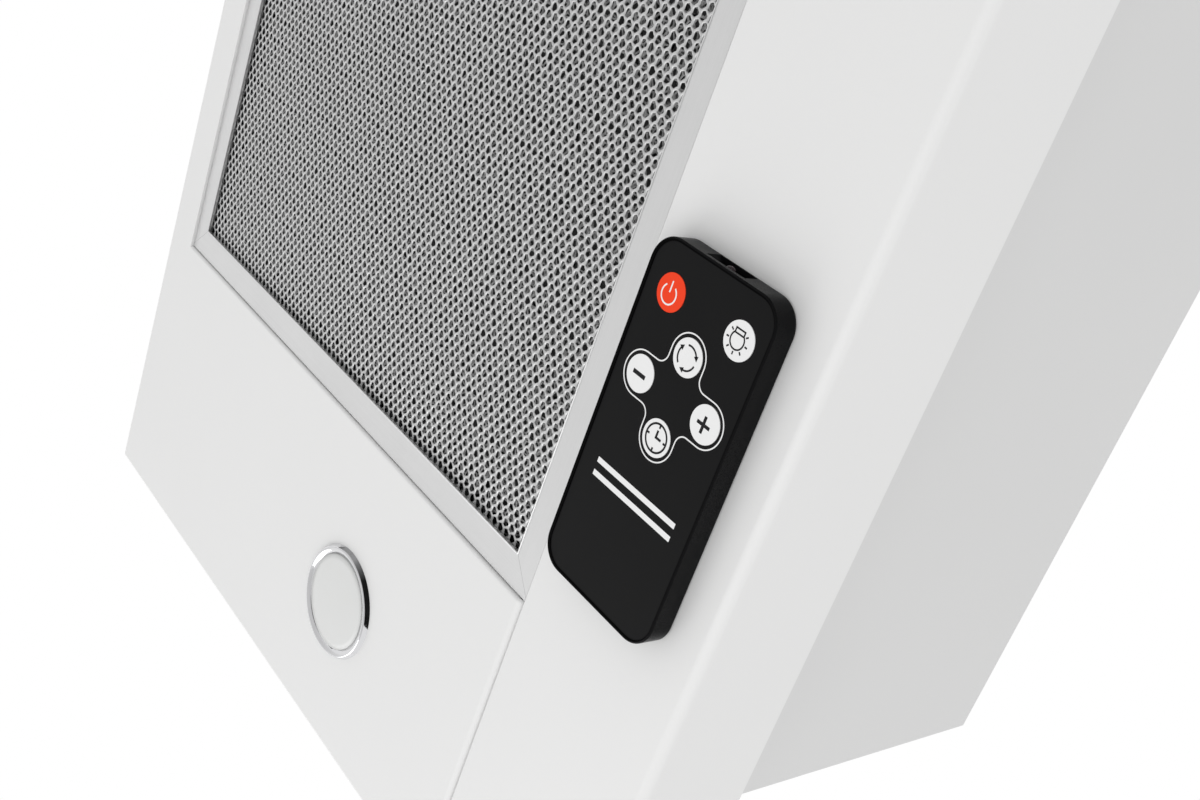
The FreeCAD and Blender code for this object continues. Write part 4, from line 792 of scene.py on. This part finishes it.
def lampBezel(side):
    low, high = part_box(f"lamp_{side}_bezel")
    centre = Vector(((low.x + high.x) / 2, (low.y + high.y) / 2, 0))
    radius = (high.x - low.x) / 2
    inner = radius - lampRing["ring"]
    neck = inner + lampRing["neck"]
    rim = (radius, low.z + lampRing["drop"])
    ring = turned(centre, (rim, (radius - lampRing["slope"], low.z), (inner, low.z + lampRing["recess"]),
                           (inner, high.z), (neck, high.z), (neck, low.z + lampRing["drop"]), rim))
    belowRecess = low.z + lampRing["recess"] / 2
    crest = [edge for edge in ring.edges if max(vert.co.z for vert in edge.verts) < belowRecess]
    bmesh.ops.bevel(ring, geom=crest, affect="EDGES", offset=lampRing["crest"],
                    segments=lampRing["crestSteps"], profile=0.5, material=-1)
    for edge in ring.edges:  # rim and back keep their own shading
        edge.smooth = edge.calc_face_angle(0.0) < math.radians(lampRing["sharpFrom"])
    return newPiece(f"lampRing.{side}", ring, "chrome", "hood")


def lampLens(side):
    low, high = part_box(f"lamp_{side}_lens")
    centre = Vector(((low.x + high.x) / 2, (low.y + high.y) / 2, 0))
    radius = (high.x - low.x) / 2
    shares = [step / lampRing["lensSteps"] for step in range(lampRing["lensSteps"] + 1)]
    dome = [(radius * share, low.z - lampRing["lensDome"] * (1 - share ** 2)) for share in shares]
    lens = turned(centre, dome + [(radius, high.z), (0, high.z)])
    return newPiece(f"lampLens.{side}", lens, "lens", "hood")


for side in ("left", "right"):
    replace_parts(lampBezel(side), f"lamp_{side}_bezel")
    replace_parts(lampLens(side), f"lamp_{side}_lens")
print("lamps made")


# Rolled hem along the inner edge of a filter frame

hem = {"half": 0.26 * mm, "drop": 0.22 * mm, "steps": 6}


# a hem round a mouth: its front run is straight, past the latch's guide block too, and may be split
def mouthHem(name, node, body, mouth, splits, finish):
    low, high = mouth
    half = hem["half"]
    end, front, rear = high.x + half, low.y - half, high.y + half
    corners = [*((x, front) for x in (-end, *splits, end)), (end, rear), (-end, rear)]
    loop = bmesh.new()
    middle = loop.faces.new([loop.verts.new((*corner, 0)) for corner in corners])
    middle.normal_update()
    turns = [math.pi * step / hem["steps"] for step in range(hem["steps"] + 1)]
    for first, second in zip(turns, turns[1:]):
        bmesh.ops.inset_region(loop, faces=[middle], thickness=half * (math.cos(first) - math.cos(second)),
                               use_boundary=True, use_even_offset=True)
        drop = hem["drop"] * (math.sin(second) - math.sin(first))
        bmesh.ops.translate(loop, vec=(0, 0, -drop), verts=middle.verts)
    bmesh.ops.delete(loop, geom=[middle], context="FACES_ONLY")
    bmesh.ops.translate(loop, vec=(0, 0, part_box(node)[0].z), verts=loop.verts)
    bmesh.ops.recalc_face_normals(loop, faces=loop.faces)
    newPiece(name, loop, finish, body)


besideGuide = guideBlock["side"] - hem["half"]
guideSplits = (-besideGuide, besideGuide)
mouthHem("filterHem", "filter_frame", "filter", (filterLow, filterHigh), guideSplits, "filterFoil")
mouthHem("visorHem", "visor_filter_frame", "visor", (visorLow, visorHigh), (), "visorFoil")
print("hems made")


# Pan-head screws with a cross recess

screwHead = {
    "radius": 3.2 * mm, "height": 1.8 * mm, "arm": 1.55 * mm, "slot": 0.62 * mm, "depth": 1.2 * mm,
    "taper": 0.55, "flat": 1.9 * mm, "steps": 5, "collarTurn": 36.0,
}


def screwTop():
    head = bmesh.new()
    crossOf(head)
    for vert in head.verts:
        for axis in (0, 1):
            reach = screwHead["arm"] if abs(vert.co[axis]) > 1 else screwHead["slot"] / 2
            vert.co[axis] = math.copysign(reach, vert.co[axis])
    cross = bmesh.ops.dissolve_faces(head, faces=head.faces[:])["region"][0]
    bmesh.ops.subdivide_edges(head, edges=cross.edges[:], cuts=1)
    rim = cross.edges[:]
    floorFace = pick(bmesh.ops.extrude_face_region(head, geom=[cross])["geom"], BMFace)[0]
    bmesh.ops.delete(head, geom=[cross], context="FACES_ONLY")
    bmesh.ops.scale(head, vec=(screwHead["taper"], screwHead["taper"], 1), verts=floorFace.verts)
    bmesh.ops.translate(head, vec=(0, 0, -screwHead["depth"]), verts=floorFace.verts)
    flat = bmesh.ops.create_circle(head, segments=len(rim), radius=screwHead["flat"])["verts"]
    outer = [edge for edge in head.edges if edge.verts[0] in flat and edge.verts[1] in flat]
    bmesh.ops.bridge_loops(head, edges=rim + outer)
    radius = screwHead["flat"]
    for step in range(1, screwHead["steps"] + 1):
        turn = math.pi / 2 * step / screwHead["steps"]
        made = bmesh.ops.extrude_edge_only(head, edges=outer)["geom"]
        outer = pick(made, BMEdge)
        ring = pick(made, BMVert)
        wider = screwHead["flat"] + (screwHead["radius"] - screwHead["flat"]) * math.sin(turn)
        bmesh.ops.scale(head, vec=(wider / radius, wider / radius, 1), verts=ring)
        radius = wider
        for vert in ring:
            vert.co.z = -screwHead["height"] * (1 - math.cos(turn))
    bmesh.ops.translate(head, vec=(0, 0, screwHead["height"]), verts=head.verts)
    bmesh.ops.recalc_face_normals(head, faces=head.faces)
    pattern = bpy.data.meshes.new("screwTop")
    head.to_mesh(pattern)
    head.free()
    return pattern


def screwSet(name, node, places):
    pattern = screwTop()
    heads = bmesh.new()
    for place in places:
        before = set(heads.verts)
        heads.from_mesh(pattern)
        bmesh.ops.transform(heads, matrix=place, verts=[vert for vert in heads.verts if vert not in before])
    bpy.data.meshes.remove(pattern)
    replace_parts(newPiece(name, heads, "zinc", "hood", smooth=False), node)


# both ends of a row of heads, along one axis of their box
def rowEnds(low, high):
    return (low + screwHead["radius"], high - screwHead["radius"])


sideLow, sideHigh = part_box("housing_screws")
sidePlaces = []
for side in (-1, 1):
    outward = Matrix.Rotation(side * math.pi / 2, 4, "Y")
    for y in rowEnds(sideLow.y, sideHigh.y):
        for z in rowEnds(sideLow.z, sideHigh.z):
            at = Vector((side * (sideHigh.x - screwHead["height"]), y, z))
            sidePlaces.append(Matrix.Translation(at) @ outward)
screwSet("sideScrews", "housing_screws", sidePlaces)
topLow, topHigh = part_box("collar_screws")
collarTurn = Matrix.Rotation(math.radians(screwHead["collarTurn"]), 4, "Z")
topPlaces = [Matrix.Translation((x, y, topHigh.z - screwHead["height"])) @ collarTurn
             for x in rowEnds(topLow.x, topHigh.x) for y in rowEnds(topLow.y, topHigh.y)]
screwSet("collarScrewHeads", "collar_screws", topPlaces)
print("screws made")


# Camera, light and stage

cameraSet = {
    "place": (24.1 * mm, -304.8 * mm, -250.0 * mm), "aim": (142.0 * mm, -102.5 * mm, -40.0 * mm),
    "lens": 40.1, "sensor": 36.0, "turn": 89.05,
}
cameraData = bpy.data.cameras.new("camera")
cameraData.lens = cameraSet["lens"]
cameraData.sensor_width = cameraSet["sensor"]
cameraData.sensor_fit = "HORIZONTAL"
camera = bpy.data.objects.new("camera", cameraData)
forward = Vector(cameraSet["aim"]) - Vector(cameraSet["place"])
roll = Matrix.Rotation(math.radians(cameraSet["turn"]), 3, "Z")
looking = forward.to_track_quat("-Z", "Y").to_matrix() @ roll
camera.matrix_world = Matrix.Translation(cameraSet["place"]) @ looking.to_4x4()
bpy.context.scene.collection.objects.link(camera)
bpy.context.scene.camera = camera

lights = {
    "keyLight": {"at": (1.7, 0.2, -0.9), "size": 1.2, "power": 7.5, "inMetal": True},
    "frontLight": {"at": (0.25, -1.2, -1.0), "size": 1.4, "power": 7.0, "inMetal": False},
    "topLight": {"at": (-0.8, 0.9, 2.2), "size": 2.0, "power": 9.0, "inMetal": True},
}
lightAim = Vector((0.1, 0, 0))
for name, lightSet in lights.items():
    lamp = bpy.data.lights.new(name, "AREA")
    lamp.size = lightSet["size"]
    lamp.energy = lightSet["power"]
    holder = bpy.data.objects.new(name, lamp)
    turn = (lightAim - Vector(lightSet["at"])).to_track_quat("-Z", "Y")
    holder.matrix_world = Matrix.Translation(lightSet["at"]) @ turn.to_matrix().to_4x4()
    holder.visible_camera = False
    holder.visible_glossy = lightSet["inMetal"]
    bpy.context.scene.collection.objects.link(holder)

# the world is plain white where it is seen, also in metal and glass, and softer as a light
worldLight = {"ambient": 0.72, "white": 1.0}
world = bpy.data.worlds.new("studio")
bpy.context.scene.world = world
world.use_nodes = True
sky = Wire(world.node_tree)
rays = sky.node("ShaderNodeLightPath")
seen = rays
for ray in ("Is Glossy Ray", "Is Transmission Ray"):
    seen = seen | Wire(world.node_tree, rays.socket.node.outputs[ray])
strength = seen * (worldLight["white"] - worldLight["ambient"]) + worldLight["ambient"]
world.node_tree.links.new(strength.socket, world.node_tree.nodes["Background"].inputs["Strength"])
world.node_tree.nodes["Background"].inputs["Color"].default_value = grey(worldLight["white"])


def stagePiece(name, shape, material):
    data = bpy.data.meshes.new(name)
    shape.to_mesh(data)
    shape.free()
    data.materials.append(material)
    item = bpy.data.objects.new(name, data)
    bpy.context.scene.collection.objects.link(item)
    return item


# pale floor, which fades out towards its rim
floorSet = {"radius": 5.0, "segments": 96, "height": -2.0, "tone": 0.86, "roughness": 0.8, "solidTo": 2.0}
floorFinish = bpy.data.materials.new("paleFloor")
floorFinish.use_nodes = True
floorTree = floorFinish.node_tree
floorShader = floorTree.nodes["Principled BSDF"]
floorShader.inputs["Base Color"].default_value = grey(floorSet["tone"])
floorShader.inputs["Roughness"].default_value = floorSet["roughness"]
floorWire = Wire(floorTree)
measure = {"operation": "LENGTH"}
fromMiddle = floorWire.node("ShaderNodeVectorMath", measure, {0: floorWire.spot()}, out="Value")
fade = (fromMiddle - floorSet["solidTo"]) / (floorSet["radius"] - floorSet["solidTo"])
clear = floorWire.node("ShaderNodeBsdfTransparent")
solid = Wire(floorTree, floorShader.outputs["BSDF"])
faded = floorWire.node("ShaderNodeMixShader", {}, {0: (fade | 0.0) & 1.0, 1: solid, 2: clear})
floorTree.links.new(faded.socket, floorTree.nodes["Material Output"].inputs["Surface"])
ground = bmesh.new()
bmesh.ops.create_circle(ground, cap_ends=True, segments=floorSet["segments"], radius=floorSet["radius"])
bmesh.ops.translate(ground, vec=(0, 0, floorSet["height"]), verts=ground.verts)
stagePiece("floor", ground, floorFinish)

# dark card beside the set, which only reflections show: its far end is paler and bends round
cardSet = {
    "at": (-0.48, -0.55, -0.68), "facing": (0.82, 0.57, 0), "wide": 9.0, "high": 1.3, "tone": 0.016,
    "paleTone": 0.50, "darkFrom": -0.65, "paleTo": -1.5, "bend": (2.5, 0.6, 0),
}
cardFinish = bpy.data.materials.new("darkCard")
cardFinish.use_nodes = True
cardShader = cardFinish.node_tree.nodes["Principled BSDF"]
cardWire = Wire(cardFinish.node_tree)
alongCard = cardWire.node("ShaderNodeSeparateXYZ", {}, {"Vector": cardWire.spot()})
pale = (alongCard - cardSet["darkFrom"]) / (cardSet["paleTo"] - cardSet["darkFrom"])
cardTone = cardWire.blend((pale | 0.0) & 1.0, grey(cardSet["tone"]), grey(cardSet["paleTone"]))
cardFinish.node_tree.links.new(cardTone.socket, cardShader.inputs["Base Color"])
cardShader.inputs["Specular IOR Level"].default_value = 0.0
panel = bmesh.new()
bmesh.ops.create_grid(panel, x_segments=1, y_segments=1, size=0.5)
bmesh.ops.scale(panel, vec=(cardSet["wide"], cardSet["high"], 1), verts=panel.verts)
facing = Vector(cardSet["facing"]).to_track_quat("Z", "Y").to_matrix().to_4x4()
bmesh.ops.transform(panel, matrix=Matrix.Translation(cardSet["at"]) @ facing, verts=panel.verts)
farEdge = max(panel.edges, key=lambda edge: sum(vert.co.y for vert in edge.verts))
bent = bmesh.ops.extrude_edge_only(panel, edges=[farEdge])["geom"]
bmesh.ops.translate(panel, vec=cardSet["bend"], verts=pick(bent, BMVert))
card = stagePiece("darkCard", panel, cardFinish)
card.visible_camera = False
card.visible_diffuse = False
card.visible_shadow = False

bpy.context.scene.view_settings.view_transform = "Standard"
print("camera, light and stage set")

bpy.context.view_layer.update()
